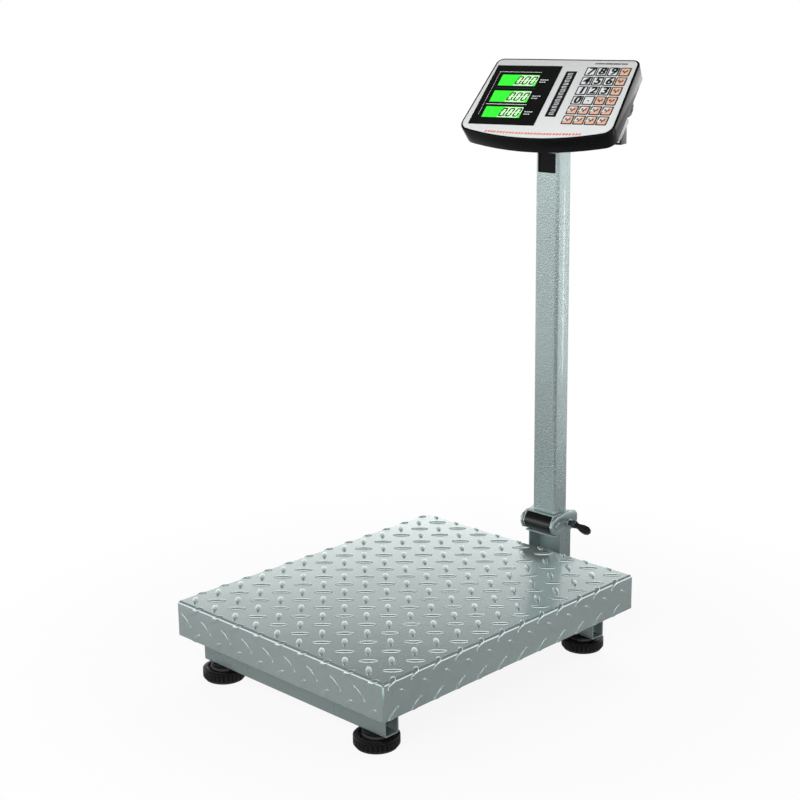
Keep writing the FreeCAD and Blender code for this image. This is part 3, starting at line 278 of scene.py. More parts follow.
def modify(piece, kind, **settings):
    """Add one modifier and apply it."""
    clear()
    piece.select_set(True)
    bpy.context.view_layer.objects.active = piece
    change = piece.modifiers.new(kind.lower(), kind)
    for name, value in settings.items():
        setattr(change, name, value)
    bpy.ops.object.modifier_apply(modifier=change.name)
    return piece


def join(name, pieces):
    """Join pieces into the first one."""
    clear()
    for piece in pieces:
        piece.select_set(True)
    bpy.context.view_layer.objects.active = pieces[0]
    if len(pieces) > 1:
        bpy.ops.object.join()
    pieces[0].name = name
    return pieces[0]


def draw_out(move):
    """In edit mode, extrude what is picked by one move."""
    bpy.ops.mesh.extrude_region_move(TRANSFORM_OT_translate={"value": move})


def face_outwards():
    """In edit mode, turn every face of the piece outwards."""
    bpy.ops.mesh.select_all(action="SELECT")
    bpy.ops.mesh.normals_make_consistent(inside=False)


def smooth(piece, angle=35):
    """Shade a piece smooth except across edges sharper than the angle."""
    clear()
    piece.select_set(True)
    bpy.context.view_layer.objects.active = piece
    bpy.ops.object.shade_smooth_by_angle(angle=math.radians(angle))
    return piece


def fit(piece, body, slot, paint, *nodes):
    """Give a finished piece its finish and its body, and hide the CAD nodes it stands for."""
    if not piece.data.materials:
        piece.data.materials.append(paint)
    piece.data.name = piece.name
    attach(piece, body)
    if nodes:
        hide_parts(*nodes)
    return piece


def shader_group(name, values, results):
    """An empty shader node group with named inputs and outputs."""
    tree = bpy.data.node_groups.new(name, "ShaderNodeTree")
    for label, kind, start in values:
        socket = tree.interface.new_socket(label, in_out="INPUT", socket_type=kind)
        socket.default_value = start
    for label, kind in results:
        tree.interface.new_socket(label, in_out="OUTPUT", socket_type=kind)
    return tree, tree.nodes.new("NodeGroupInput"), tree.nodes.new("NodeGroupOutput")


def wire(tree, *pairs):
    """Link pairs of sockets."""
    for start, end in pairs:
        tree.links.new(start, end)


def node(tree, kind, **settings):
    """A shader node with its settings and inputs set."""
    made = tree.nodes.new("ShaderNode" + kind)
    for name, value in settings.items():
        if hasattr(made, name):
            setattr(made, name, value)
        else:
            made.inputs[name.replace("_", " ")].default_value = value
    return made


def mix_colour(tree, kind, amount, first, second):
    """A colour mix; amount, first and second are sockets or plain values."""
    mix = node(tree, "Mix", data_type="RGBA", blend_type=kind)
    for index, value in ((0, amount), (6, first), (7, second)):
        if hasattr(value, "is_linked"):
            tree.links.new(value, mix.inputs[index])
        else:
            mix.inputs[index].default_value = value
    return mix.outputs[2]


def make_enamel_group():
    """Sprayed enamel: clouded tone, fine orange peel and a thin film of dust and rub marks."""
    tree, given, result = shader_group(
        "enamel_grain",
        [("Tone", "NodeSocketColor", (0.5, 0.5, 0.5, 1)), ("Peel Size", "NodeSocketFloat", 700),
         ("Peel Depth", "NodeSocketFloat", 0.1), ("Mottle", "NodeSocketFloat", 0.1),
         ("Gloss", "NodeSocketFloat", 0.25)],
        [("Colour", "NodeSocketColor"), ("Roughness", "NodeSocketFloat"),
         ("Normal", "NodeSocketVector")])
    place = node(tree, "TexCoord").outputs["Object"]
    cloud = node(tree, "TexNoise", Scale=7.0, Detail=5.0, Roughness=0.6)
    peel = node(tree, "TexNoise", Detail=2.0, Roughness=0.5)
    fleck = node(tree, "TexVoronoi", feature="F1")
    rub = node(tree, "TexNoise", Scale=22.0, Detail=3.0, Roughness=0.6)
    wire(tree, (place, cloud.inputs["Vector"]), (place, peel.inputs["Vector"]),
         (place, fleck.inputs["Vector"]), (place, rub.inputs["Vector"]),
         (given.outputs["Peel Size"], peel.inputs["Scale"]),
         (given.outputs["Peel Size"], fleck.inputs["Scale"]))
    shade = node(tree, "MapRange", From_Min=0.3, From_Max=0.7, To_Min=0.94, To_Max=1.05)
    wire(tree, (cloud.outputs["Fac"], shade.inputs["Value"]))
    speck = node(tree, "MapRange", From_Min=0.1, From_Max=0.7, To_Min=1.2, To_Max=0.9)
    wire(tree, (fleck.outputs["Distance"], speck.inputs["Value"]))
    toned = mix_colour(tree, "MULTIPLY", 1.0, given.outputs["Tone"], shade.outputs["Result"])
    mottled = mix_colour(tree, "MULTIPLY", given.outputs["Mottle"], toned,
                         speck.outputs["Result"])
    wire(tree, (mottled, result.inputs["Colour"]))
    rubbed = node(tree, "MapRange", From_Min=0.35, From_Max=0.75, To_Min=-0.02, To_Max=0.05)
    wire(tree, (rub.outputs["Fac"], rubbed.inputs["Value"]))
    gloss = node(tree, "Math", operation="ADD", use_clamp=True)
    wire(tree, (given.outputs["Gloss"], gloss.inputs[0]), (rubbed.outputs["Result"],
         gloss.inputs[1]), (gloss.outputs[0], result.inputs["Roughness"]))
    bump = node(tree, "Bump", Distance=0.0006)
    wire(tree, (given.outputs["Peel Depth"], bump.inputs["Strength"]),
         (peel.outputs["Fac"], bump.inputs["Height"]),
         (bump.outputs["Normal"], result.inputs["Normal"]))
    return tree


enamel_grain = make_enamel_group()


def enamel(name, tone, peel_size, peel_depth, mottle, gloss, metal, coat):
    """A sprayed metallic enamel with a clear top layer."""
    paint = bpy.data.materials.new(name)
    paint.use_nodes = True
    tree = paint.node_tree
    surface = tree.nodes["Principled BSDF"]
    grain = tree.nodes.new("ShaderNodeGroup")
    grain.node_tree = enamel_grain
    for label, value in (("Tone", (*tone, 1)), ("Peel Size", peel_size),
                         ("Peel Depth", peel_depth), ("Mottle", mottle), ("Gloss", gloss)):
        grain.inputs[label].default_value = value
    wire(tree, (grain.outputs["Colour"], surface.inputs["Base Color"]),
         (grain.outputs["Roughness"], surface.inputs["Roughness"]),
         (grain.outputs["Normal"], surface.inputs["Normal"]))
    surface.inputs["Metallic"].default_value = metal
    surface.inputs["Coat Weight"].default_value = coat
    surface.inputs["Coat Roughness"].default_value = 0.06
    return paint


platter_enamel = enamel("platter_enamel", (0.53, 0.63, 0.62), peel_size=900, peel_depth=0.04,
                        mottle=0.02, gloss=0.18, metal=0.75, coat=0.35)


def make_tray():
    """The flat sheet, then four skirts drawn out of its edges round the fold and straight down."""
    half = (platter_high - platter_low) / 2
    clear()
    bpy.ops.mesh.primitive_plane_add(
        size=1, location=(platter_middle.x, platter_middle.y, platter_top))
    tray = bpy.context.object
    tray.scale = (2 * (half.x - FOLD), 2 * (half.y - FOLD), 1)
    bpy.ops.object.transform_apply(location=True, rotation=True, scale=True)
    bends = [math.pi / 2 * step / FOLD_STEPS for step in range(FOLD_STEPS + 1)]
    for axis in (0, 1):
        for side in (-1, 1):
            edit(tray, "EDGE")
            line = platter_middle[axis] + side * (half[axis] - FOLD)
            pick(tray, "edges", lambda edge: abs(mid(edge)[axis] - line) < TOUCH
                 and abs(mid(edge).z - platter_top) < TOUCH)
            width = half[1 - axis] - FOLD
            for bend, next_bend in zip(bends, bends[1:]):
                move = Vector((0, 0, FOLD * (math.cos(next_bend) - math.cos(bend))))
                move[axis] = side * FOLD * (math.sin(next_bend) - math.sin(bend))
                draw_out(move)
                wider = half[1 - axis] - FOLD + (FOLD - CORNER_SLIT) * next_bend / bends[-1]
                grow = Vector((1, 1, 1))
                grow[1 - axis] = wider / width
                bpy.ops.transform.resize(value=grow, center_override=platter_middle)
                width = wider
            draw_out((0, 0, platter_low.z - platter_top + FOLD))
    face_outwards()
    clear()
    if tray.data.polygons[0].normal.z < 0:
        tray.data.flip_normals()
    return modify(tray, "SOLIDIFY", thickness=SHEET, offset=-1)


def tread_bar():
    """One tread bar: a long low dome with a flat underside that sinks into the sheet."""
    clear()
    bpy.ops.mesh.primitive_uv_sphere_add(segments=18, ring_count=8, radius=0.5)
    bar = bpy.context.object
    edit(bar, "VERT")
    pick(bar, "verts", lambda vert: vert.co.z < -TOUCH)
    bpy.ops.mesh.delete(type="VERT")
    pick(bar, "verts", lambda vert: abs(vert.co.z) < TOUCH)
    bpy.ops.mesh.edge_face_add()
    clear()
    bar.scale = (TREAD_LONG, TREAD_WIDE, TREAD_HIGH * 2)
    bpy.ops.object.select_all(action="DESELECT")
    bar.select_set(True)
    bpy.ops.object.transform_apply(location=False, rotation=False, scale=True)
    for vert in bar.data.vertices:
        vert.co.y *= 1 - BAR_PINCH * (abs(vert.co.x) / (TREAD_LONG / 2)) ** 2
        vert.co.z = TREAD_HIGH * max(vert.co.z / TREAD_HIGH, 0) ** BAR_SWELL
        if vert.co.z < TOUCH:
            vert.co.z = -BAR_SINK
    return bar


def fold_down(place, half, middle):
    """Bend a point of the flat, unfolded sheet over the tray's edge, across x or y."""
    bent = Vector((place.x, place.y, platter_top + place.z))
    for axis in (0, 1):
        away = abs(place[axis] - middle[axis])
        side = 1 if place[axis] > middle[axis] else -1
        run = away - (half[axis] - FOLD)
        if run <= 0:
            continue
        angle = min(run / FOLD, math.pi / 2)
        reach = FOLD + place.z
        bent[axis] = middle[axis] + side * (half[axis] - FOLD + reach * math.sin(angle))
        bent.z = platter_top - FOLD + reach * math.cos(angle) - max(0, run - FOLD * math.pi / 2)
    return bent


def make_treads():
    """Bars of two directions on two interleaved lattices, laid flat and folded with the sheet."""
    bar = tread_bar()
    half = (platter_high - platter_low) / 2
    drop = platter_high.z - platter_low.z - FOLD + FOLD * math.pi / 2
    limit = [half[axis] - FOLD + drop for axis in (0, 1)]
    bars = []
    for shift, turn in ((0.0, TREAD_TURN), (0.5, -TREAD_TURN)):
        for column in TREAD_COLUMNS:
            for row in TREAD_ROWS:
                spot = Vector((TREAD_FIRST.x + (column + shift) * TREAD_STEP_X,
                               TREAD_FIRST.y + (row + shift) * TREAD_STEP_Y, 0))
                over_fold = [abs(spot[axis]) - (half[axis] - FOLD) for axis in (0, 1)]
                past_edge = max(abs(spot[axis]) - limit[axis] for axis in (0, 1))
                at_corner = min(over_fold) > -CORNER_CLEAR and max(over_fold) > 0.0
                if at_corner or past_edge > EDGE_REACH:
                    continue
                copy = bar.copy()
                copy.data = bar.data.copy()
                scene.collection.objects.link(copy)
                copy.data.transform(Matrix.Translation(spot + Vector((
                    platter_middle.x, platter_middle.y, 0))) @ Matrix.Rotation(turn, 4, "Z"))
                bars.append(copy)
    bpy.data.objects.remove(bar)
    treads = join("treads", bars)
    for axis in (0, 1):
        for side in (-1, 1):
            edit(treads)
            bpy.ops.mesh.select_all(action="SELECT")
            edge = Vector((platter_middle.x, platter_middle.y, 0))
            edge[axis] += side * (limit[axis] - EDGE_TRIM)
            way = Vector((0, 0, 0))
            way[axis] = side
            bpy.ops.mesh.bisect(plane_co=edge, plane_no=way, clear_outer=True, use_fill=True)
    clear()
    for vert in treads.data.vertices:
        vert.co = fold_down(vert.co, half, platter_middle)
    return treads


platter = join("platter", [make_tray(), make_treads()])
smooth(platter, 50)
fit(platter, "platter_tray", "platter_paint", platter_enamel, "platter")

# ---------------------------------------------------------------- base tubes
# Two open-ended square tubes cross the base; a spine and a rear rail join them and reach back
# to the hinge bracket. The upper frame on the load cell is of the same sort. Welded steel tube
# with rolled corners, sprayed in a darker coat of the enamel.
frame_enamel = enamel("frame_enamel", (0.33, 0.405, 0.40), peel_size=650, peel_depth=0.06,
                      mottle=0.03, gloss=0.28, metal=0.65, coat=0.3)
TUBE_WALL, TUBE_ROUND = 0.002, 0.0025


def round_edges(piece, axis, radius, steps=4):
    """In edit mode, round the edges that run along an axis."""
    bpy.ops.mesh.select_mode(type="EDGE")
    pick(piece, "edges", lambda edge: runs_along(edge, axis))
    bpy.ops.mesh.bevel(offset=radius, segments=steps, affect="EDGES")


def open_tube(name, node_name, axis):
    """A square tube along an axis, as long and as wide as its CAD node."""
    low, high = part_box(node_name)
    tube = block(name, low, high)
    edit(tube)
    pick(tube, "faces", lambda face: abs(face.normal[axis]) > 0.9)
    bpy.ops.mesh.delete(type="FACE")
    round_edges(tube, axis, TUBE_ROUND)
    clear()
    modify(tube, "SOLIDIFY", thickness=TUBE_WALL, offset=-1)
    return smooth(tube)


for tube_name, axis in (("front_cross_tube", 0), ("rear_cross_tube", 0), ("base_spine", 1),
                        ("rear_rail", 1), ("carrier_arm_front", 0), ("carrier_arm_rear", 0),
                        ("carrier_beam", 1)):
    tube = open_tube(f"{tube_name}_steel", tube_name, axis)
    fit(tube, "base", "frame_paint", frame_enamel, tube_name)

# ---------------------------------------------------------------- levelling feet
# Each foot is a black nylon moulding: a ribbed grip, a rounded lip over it, and a dome that
# rises from the recess inside the lip and carries the stud. It stands on a rubber sole.
RIBS, RIB_DEEP, RIM_HIGH = 30, 0.0015, 0.0104
GROOVE_START, GROOVE_END = 0.40, 0.60
STUD_ROUND, STUD_TIP = 0.0058, 0.0050


def make_plastic_group():
    """Moulded plastic: fine spark-erosion texture, light scuffs and a trace of dust."""
    tree, given, result = shader_group(
        "moulded_grain",
        [("Tone", "NodeSocketColor", (0.02, 0.02, 0.02, 1)),
         ("Dust", "NodeSocketColor", (0.25, 0.25, 0.25, 1)),
         ("Dust Amount", "NodeSocketFloat", 0.1), ("Grain Size", "NodeSocketFloat", 1500),
         ("Grain Depth", "NodeSocketFloat", 0.1), ("Gloss", "NodeSocketFloat", 0.3)],
        [("Colour", "NodeSocketColor"), ("Roughness", "NodeSocketFloat"),
         ("Normal", "NodeSocketVector")])
    place = node(tree, "TexCoord").outputs["Object"]
    grain = node(tree, "TexNoise", Detail=3.0, Roughness=0.6)
    scuff = node(tree, "TexNoise", Scale=60.0, Detail=8.0, Roughness=0.8)
    settle = node(tree, "TexNoise", Scale=16.0, Detail=4.0, Roughness=0.6)
    wire(tree, (place, grain.inputs["Vector"]), (place, scuff.inputs["Vector"]),
         (place, settle.inputs["Vector"]), (given.outputs["Grain Size"], grain.inputs["Scale"]))
    film = node(tree, "MapRange", From_Min=0.45, From_Max=0.8, To_Min=0.0, To_Max=1.0)
    wire(tree, (settle.outputs["Fac"], film.inputs["Value"]))
    amount = node(tree, "Math", operation="MULTIPLY", use_clamp=True)
    wire(tree, (film.outputs["Result"], amount.inputs[0]),
         (given.outputs["Dust Amount"], amount.inputs[1]))
    wire(tree, (mix_colour(tree, "MIX", amount.outputs[0], given.outputs["Tone"],
                           given.outputs["Dust"]), result.inputs["Colour"]))
    scuffed = node(tree, "MapRange", From_Min=0.4, From_Max=0.7, To_Min=-0.03, To_Max=0.10)
    wire(tree, (scuff.outputs["Fac"], scuffed.inputs["Value"]))
    gloss = node(tree, "Math", operation="ADD", use_clamp=True)
    wire(tree, (given.outputs["Gloss"], gloss.inputs[0]),
         (scuffed.outputs["Result"], gloss.inputs[1]),
         (gloss.outputs[0], result.inputs["Roughness"]))
    bump = node(tree, "Bump", Distance=0.0004)
    wire(tree, (given.outputs["Grain Depth"], bump.inputs["Strength"]),
         (grain.outputs["Fac"], bump.inputs["Height"]),
         (bump.outputs["Normal"], result.inputs["Normal"]))
    return tree


moulded_grain = make_plastic_group()


def moulding(name, tone, gloss, grain_depth=0.08, dust=0.1, grain_size=1500, coat=0.0,
             dust_tone=(0.25, 0.25, 0.25), metal=0.0, shine=0.5):
    """A moulded or machined finish with fine grain and a trace of dust."""
    paint = bpy.data.materials.new(name)
    paint.use_nodes = True
    tree = paint.node_tree
    surface = tree.nodes["Principled BSDF"]
    grain = tree.nodes.new("ShaderNodeGroup")
    grain.node_tree = moulded_grain
    for label, value in (("Tone", (*tone, 1)), ("Dust", (*dust_tone, 1)),
                         ("Dust Amount", dust), ("Grain Size", grain_size),
                         ("Grain Depth", grain_depth), ("Gloss", gloss)):
        grain.inputs[label].default_value = value
    wire(tree, (grain.outputs["Colour"], surface.inputs["Base Color"]),
         (grain.outputs["Roughness"], surface.inputs["Roughness"]),
         (grain.outputs["Normal"], surface.inputs["Normal"]))
    surface.inputs["Metallic"].default_value = metal
    surface.inputs["Specular IOR Level"].default_value = shine
    surface.inputs["Coat Weight"].default_value = coat
    surface.inputs["Coat Roughness"].default_value = 0.05
    return paint


foot_nylon = moulding("foot_nylon", (0.006, 0.006, 0.006), 0.30, dust=0.01, coat=0.1,
                      shine=0.30)
sole_rubber = moulding("sole_rubber", (0.02, 0.02, 0.02), 0.75, grain_depth=0.25, dust=0.3)


def turned(name, profile, spot, sides=64, axis="Z"):
    """A solid of revolution: a capped circle drawn up through the profile's (radius, height)."""
    clear()
    radius, height = profile[0]
    bpy.ops.mesh.primitive_circle_add(vertices=sides, radius=radius, fill_type="NGON",
                                      location=(0, 0, height))
    piece = bpy.context.object
    piece.name = name
    bpy.ops.object.transform_apply(location=True, rotation=False, scale=False)
    edit(piece)
    bpy.ops.mesh.select_all(action="SELECT")
    for (radius, height), (next_radius, next_height) in zip(profile, profile[1:]):
        draw_out((0, 0, next_height - height))
        grow = next_radius / radius
        bpy.ops.transform.resize(value=(grow, grow, 1), center_override=(0, 0, next_height))
    face_outwards()
    clear()
    if axis == "X":
        piece.data.transform(Matrix.Rotation(math.radians(90), 4, "Y"))
    piece.data.transform(Matrix.Translation(spot))
    return piece


def make_foot(corner):
    """The moulding, turned with fine sides, its grip grooved between the ribs, and its stud."""
    low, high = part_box(f"foot_{corner}")
    middle = (low + high) / 2
    rim, base = (high.x - low.x) / 2, low.z
    dome_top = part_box("front_cross_tube")[0].z - 0.0004
    lip = base + RIM_HIGH
    foot = turned(f"foot_{corner}_moulding", [
        (rim - 0.0030, base), (rim - 0.0008, base + 0.0006), (rim, base + 0.0018),
        (rim, lip - 0.0006), (rim - 0.0009, lip), (rim - 0.0009, lip + 0.0005),
        (rim - 0.0001, lip + 0.0011), (rim, lip + 0.0020), (rim - 0.0008, lip + 0.0030),
        (rim - 0.0028, lip + 0.0036), (rim - 0.0058, lip + 0.0036),
        (rim - 0.0070, lip + 0.0028), (rim - 0.0076, lip + 0.0012),
        (rim - 0.0094, lip + 0.0008), (rim - 0.0102, lip + 0.0016),
        (rim - 0.0106, lip + 0.0048), (rim - 0.0114, dome_top - 0.0018),
        (rim - 0.0134, dome_top - 0.0004), (rim - 0.0160, dome_top)],
        (middle.x, middle.y, 0), sides=RIBS * 6)
    groove_low, groove_high = base + 0.0012, lip - 0.0003
    for vert in foot.data.vertices:
        out = Vector((vert.co.x - middle.x, vert.co.y - middle.y, 0))
        turn = math.atan2(out.y, out.x) / (2 * math.pi) * RIBS % 1.0
        if groove_low < vert.co.z < groove_high and out.length > rim - 0.0015 \
                and GROOVE_START < turn < GROOVE_END:
            vert.co -= out.normalized() * RIB_DEEP
    stud = turned("stud", [(STUD_ROUND, dome_top - 0.001), (STUD_ROUND, high.z - 0.001),
                           (STUD_TIP, high.z)], (middle.x, middle.y, 0), sides=24)
    stud.data.materials.append(foot_nylon)
    foot.data.materials.append(foot_nylon)
    return smooth(join(f"foot_{corner}_moulding", [foot, stud]), 30)


def make_sole(corner):
    """A flat rubber disc with a rounded edge."""
    low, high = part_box(f"foot_sole_{corner}")
    middle = (low + high) / 2
    edge = (high.x - low.x) / 2
    return smooth(turned(f"foot_{corner}_sole", [
        (edge - 0.0012, 0.0), (edge - 0.0002, 0.0005), (edge, 0.0012), (edge, high.z - 0.0003),
        (edge - 0.0006, high.z)], (middle.x, middle.y, 0), sides=72))


for corner in ("front_left", "front_right", "rear_left", "rear_right"):
    fit(make_foot(corner), f"foot_{corner}", "foot_moulding", foot_nylon, f"foot_{corner}")
    fit(make_sole(corner), f"sole_{corner}", "sole_rubber", sole_rubber,
        f"foot_sole_{corner}")

# ---------------------------------------------------------------- hinge bracket and lock nut
# A pressed channel, open to the front and welded to the rear rail, that rises into two rounded
# ears. The ears carry the hinge bolt and, on the right, the welded nut of the lock screw.
SOFT_EDGE = 0.0006
WELD_DISTANCE = 0.00002


def break_edges(piece, width, steps=2, corner=50):
    """Round every edge that turns by more than the corner's degrees."""
    return modify(piece, "BEVEL", width=width, segments=steps, limit_method="ANGLE",
                  angle_limit=math.radians(corner))


def softened(name, node_name, edge=SOFT_EDGE, steps=2, corner=32):
    """A piece on its CAD solid's own faces, its sharp edges broken as pressing leaves them."""
    source = frame["nodes"][node_name]
    piece = source.copy()
    piece.data = source.data.copy()
    piece.name = name
    piece.data.materials.clear()
    scene.collection.objects.link(piece)
    edit(piece)
    bpy.ops.mesh.select_all(action="SELECT")
    bpy.ops.mesh.remove_doubles(threshold=WELD_DISTANCE)
    bpy.ops.mesh.dissolve_limited(angle_limit=math.radians(1))
    clear()
    return smooth(break_edges(piece, edge, steps, corner), 40)


fit(softened("hinge_bracket_steel", "hinge_bracket"), "base", "frame_paint", frame_enamel,
    "hinge_bracket")
fit(softened("lock_nut_boss", "lock_nut", 0.0004), "base", "frame_paint", frame_enamel,
    "lock_nut")


# ---------------------------------------------------------------- hinge bolt, barrel and shoe
# The column's welded shoe turns on a bolt through the ears; its black barrel fills the front of
# the hinge. The bolt has a plain round head on the right and a nut on the left, both painted.
def metal(name, tone, gloss, grain_size=900, grain_depth=0.05):
    """Bare or plated metal with fine grain and faint handling marks."""
    return moulding(name, tone, gloss, grain_depth=grain_depth, dust=0.25,
                    grain_size=grain_size, dust_tone=[shade * 0.6 for shade in tone], metal=1.0)


zinc_plate = metal("zinc_plate", (0.62, 0.63, 0.62), 0.28)
barrel_black = moulding("barrel_black", (0.004, 0.005, 0.005), 0.20, grain_depth=0.02, dust=0.02,
                        coat=0.1)

barrel_low, barrel_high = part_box("hinge_barrel")
barrel_round = (barrel_high.z - barrel_low.z) / 2
pin_low, pin_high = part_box("hinge_pin")
pin_middle = (pin_low + pin_high) / 2


def along_x(name, profile, spot, sides=64):
    """A turned piece whose axis is X; the profile's second value runs to the right."""
    return smooth(turned(name, profile, spot, sides, axis="X"), 35)


barrel = along_x("hinge_barrel_sleeve", [
    (barrel_round - 0.0022, barrel_low.x), (barrel_round - 0.0010, barrel_low.x + 0.0004),
    (barrel_round, barrel_low.x + 0.0014), (barrel_round, barrel_high.x - 0.0014),
    (barrel_round - 0.0010, barrel_high.x - 0.0004), (barrel_round - 0.0022, barrel_high.x)],
    (0, pin_middle.y, (barrel_low.z + barrel_high.z) / 2))
fit(barrel, "column", "column_paint", barrel_black, "hinge_barrel")

HEAD_ROUND, SHANK_ROUND, HEAD_THICK = 0.0062, 0.005, 0.0025
shank_end = pin_high.x - HEAD_THICK
pin = along_x("hinge_bolt", [
    (SHANK_ROUND - 0.0008, pin_low.x), (SHANK_ROUND, pin_low.x + 0.0008),
    (SHANK_ROUND, shank_end), (HEAD_ROUND - 0.0003, shank_end + 0.0001),
    (HEAD_ROUND, shank_end + 0.0005), (HEAD_ROUND, pin_high.x - 0.0010),
    (HEAD_ROUND - 0.0005, pin_high.x - 0.0003), (HEAD_ROUND - 0.0016, pin_high.x)],
    (0, pin_middle.y, pin_middle.z), sides=48)
fit(pin, "base", "frame_paint", frame_enamel, "hinge_pin")
fit(softened("hinge_bolt_nut", "hinge_nut", 0.0005), "base", "frame_paint", frame_enamel,
    "hinge_nut")

column_enamel = enamel("column_enamel", (0.36, 0.44, 0.435), peel_size=430, peel_depth=0.80,
                       mottle=0.20, gloss=0.24, metal=0.7, coat=0.4)
fit(softened("column_shoe_steel", "column_shoe"), "column", "column_paint", column_enamel,
    "column_shoe")

# ---------------------------------------------------------------- lock lever
# A cast wing screw that clamps the shoe when the column is up: a threaded shank, a short neck
# and a flat paddle that hangs a little. Dark grey casting; its brass tip bears on the shoe.
lever_casting = metal("lever_casting", (0.11, 0.12, 0.12), 0.42, grain_size=1400,
                      grain_depth=0.25)
brass = metal("brass", (0.62, 0.43, 0.16), 0.25)
fit(softened("lock_lever_wing", "lock_lever", 0.0013, 3, 30), "lock_screw", "lever_alloy",
    lever_casting, "lock_lever")
fit(softened("lock_tip_brass", "lock_tip", 0.0004), "lock_thrust", "brass_tip", brass,
    "lock_tip")

# ---------------------------------------------------------------- column
# A rectangular steel tube with round corners stands in the shoe. Its front wall has a window
# near the top, cut for the folding cable guide, and the enamel is sprayed thick and pebbled.
POST_ROUND, POST_WALL = 0.0045, 0.0016
WINDOW_HALF, WINDOW_LOW, WINDOW_HIGH = 0.0163, 0.6590, 0.6875
post_low, post_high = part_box("column_post")
post = block("column_tube", post_low, post_high)
edit(post)
pick(post, "faces", lambda face: abs(face.normal.z) > 0.9)
bpy.ops.mesh.delete(type="FACE")
round_edges(post, 2, POST_ROUND, steps=6)
bpy.ops.mesh.select_mode(type="FACE")
for spot, way in (((0, 0, WINDOW_LOW), (0, 0, 1)), ((0, 0, WINDOW_HIGH), (0, 0, 1)),
                  ((-WINDOW_HALF, 0, 0), (1, 0, 0)), ((WINDOW_HALF, 0, 0), (1, 0, 0))):
    pick(post, "faces", lambda face: face.normal.y < -0.99)
    bpy.ops.mesh.bisect(plane_co=spot, plane_no=way)
pick(post, "faces", lambda face: face.normal.y < -0.99 and abs(mid(face).x) < WINDOW_HALF
     and WINDOW_LOW < mid(face).z < WINDOW_HIGH)
bpy.ops.mesh.delete(type="FACE")
clear()
modify(post, "SOLIDIFY", thickness=POST_WALL, offset=-1)
smooth(post, 40)
fit(post, "column", "column_paint", column_enamel, "column_post")

plug_black = moulding("plug_black", (0.004, 0.004, 0.004), 0.4, dust=0.0, shine=0.12)
fit(softened("neck_plug_moulding", "neck_plug", 0.0008, 3), "column", "plug_plastic",
    plug_black, "neck_plug")
black_oxide = metal("black_oxide", (0.05, 0.05, 0.05), 0.38)
for fixing in ("swivel_bolt", "swivel_washer"):
    fit(softened(f"{fixing}_steel", fixing, 0.0004), "column", "black_steel", black_oxide,
        fixing)

# ---------------------------------------------------------------- yoke and tilt knobs
# A black bent strap swivels on the column's top and holds the head between its arms. A lobed
# hand knob on each side clamps the tilt.
yoke_black = enamel("yoke_black", (0.015, 0.015, 0.016), peel_size=1200, peel_depth=0.08,
                    mottle=0.1, gloss=0.32, metal=0.0, coat=0.4)
fit(softened("head_yoke_strap", "head_yoke", 0.0005), "yoke", "black_steel", yoke_black,
    "head_yoke")

tilt = next(joint for joint in frame["joints"] if joint["name"] == "head_tilt")
tilt_pivot = Vector(tilt["pos_m"])
tilt_axis = Vector(tilt["axis"])
head_yaw = math.atan2(tilt_axis.y, tilt_axis.x)
KNOB_ROUND, KNOB_THICK, KNOB_NEAR = 0.0155, 0.013, 0.0968
KNOB_LOBES, KNOB_SIDES, LOBE_CUT, LOBE_FROM = 12, 144, 0.045, 0.84
knob_grey = moulding("knob_grey", (0.020, 0.021, 0.023), 0.32, grain_depth=0.15, dust=0.15)


def make_knob(name, side):
    """A knob moulded with scalloped lobes, a rounded rim and a dished cap."""
    profile = [(0.0085, 0.0), (0.0138, 0.0), (0.0149, 0.0006), (KNOB_ROUND, 0.0020),
               (KNOB_ROUND, KNOB_THICK - 0.0030), (0.0148, KNOB_THICK - 0.0010),
               (0.0135, KNOB_THICK), (0.0098, KNOB_THICK), (0.0091, KNOB_THICK - 0.0007),
               (0.0020, KNOB_THICK - 0.0010)]
    knob = turned(name, profile, (0, 0, 0), sides=KNOB_SIDES)
    for vert in knob.data.vertices:
        reach = math.hypot(vert.co.x, vert.co.y)
        if reach < KNOB_ROUND * LOBE_FROM:
            continue
        turn = math.atan2(vert.co.y, vert.co.x) * KNOB_LOBES
        cut = 1 - LOBE_CUT * (1 - math.cos(turn)) * (reach / KNOB_ROUND)
        vert.co.x *= cut
        vert.co.y *= cut
    knob.data.transform(Matrix.Translation(tilt_pivot) @ Matrix.Rotation(head_yaw, 4, "Z")
                        @ Matrix.Translation((side * KNOB_NEAR, 0, 0))
                        @ Matrix.Rotation(side * math.pi / 2, 4, "Y"))
    return smooth(knob, 40)


for side_name, side in (("right", 1), ("left", -1)):
    fit(make_knob(f"tilt_knob_{side_name}_grip", side), f"knob_{side_name}", "knob_grey",
        knob_grey, f"tilt_knob_{side_name}")

# ---------------------------------------------------------------- head: upper case
# The indicator's upper shell: gloss black moulding with a bowed front, rounded corners and rim
# and a shallow recess for the printed face.
HEAD_SLOPE = math.radians(39)
PIVOT_ON_HEAD = Vector((0, 0.0098, -0.029))
HEAD_WIDE, HEAD_DEEP, HEAD_BOW, REAR_TAPER = 0.239, 0.147, 0.018, 0.007
SKIRT, SKIRT_DRAW = 0.0267, 0.985
REAR_CORNER, FRONT_CORNER = 0.011, 0.014
CASE_WALL, RIM_ROUND, RIM_WIDE, FACE_RECESS, CASE_EDGE = 0.0025, 0.0022, 0.0030, 0.0006, 0.0007
BOW_STEPS, CORNER_STEPS = 12, 7
head_place = (Matrix.Translation(tilt_pivot) @ Matrix.Rotation(head_yaw, 4, "Z")
              @ Matrix.Rotation(HEAD_SLOPE, 4, "X") @ Matrix.Translation(-PIVOT_ON_HEAD))


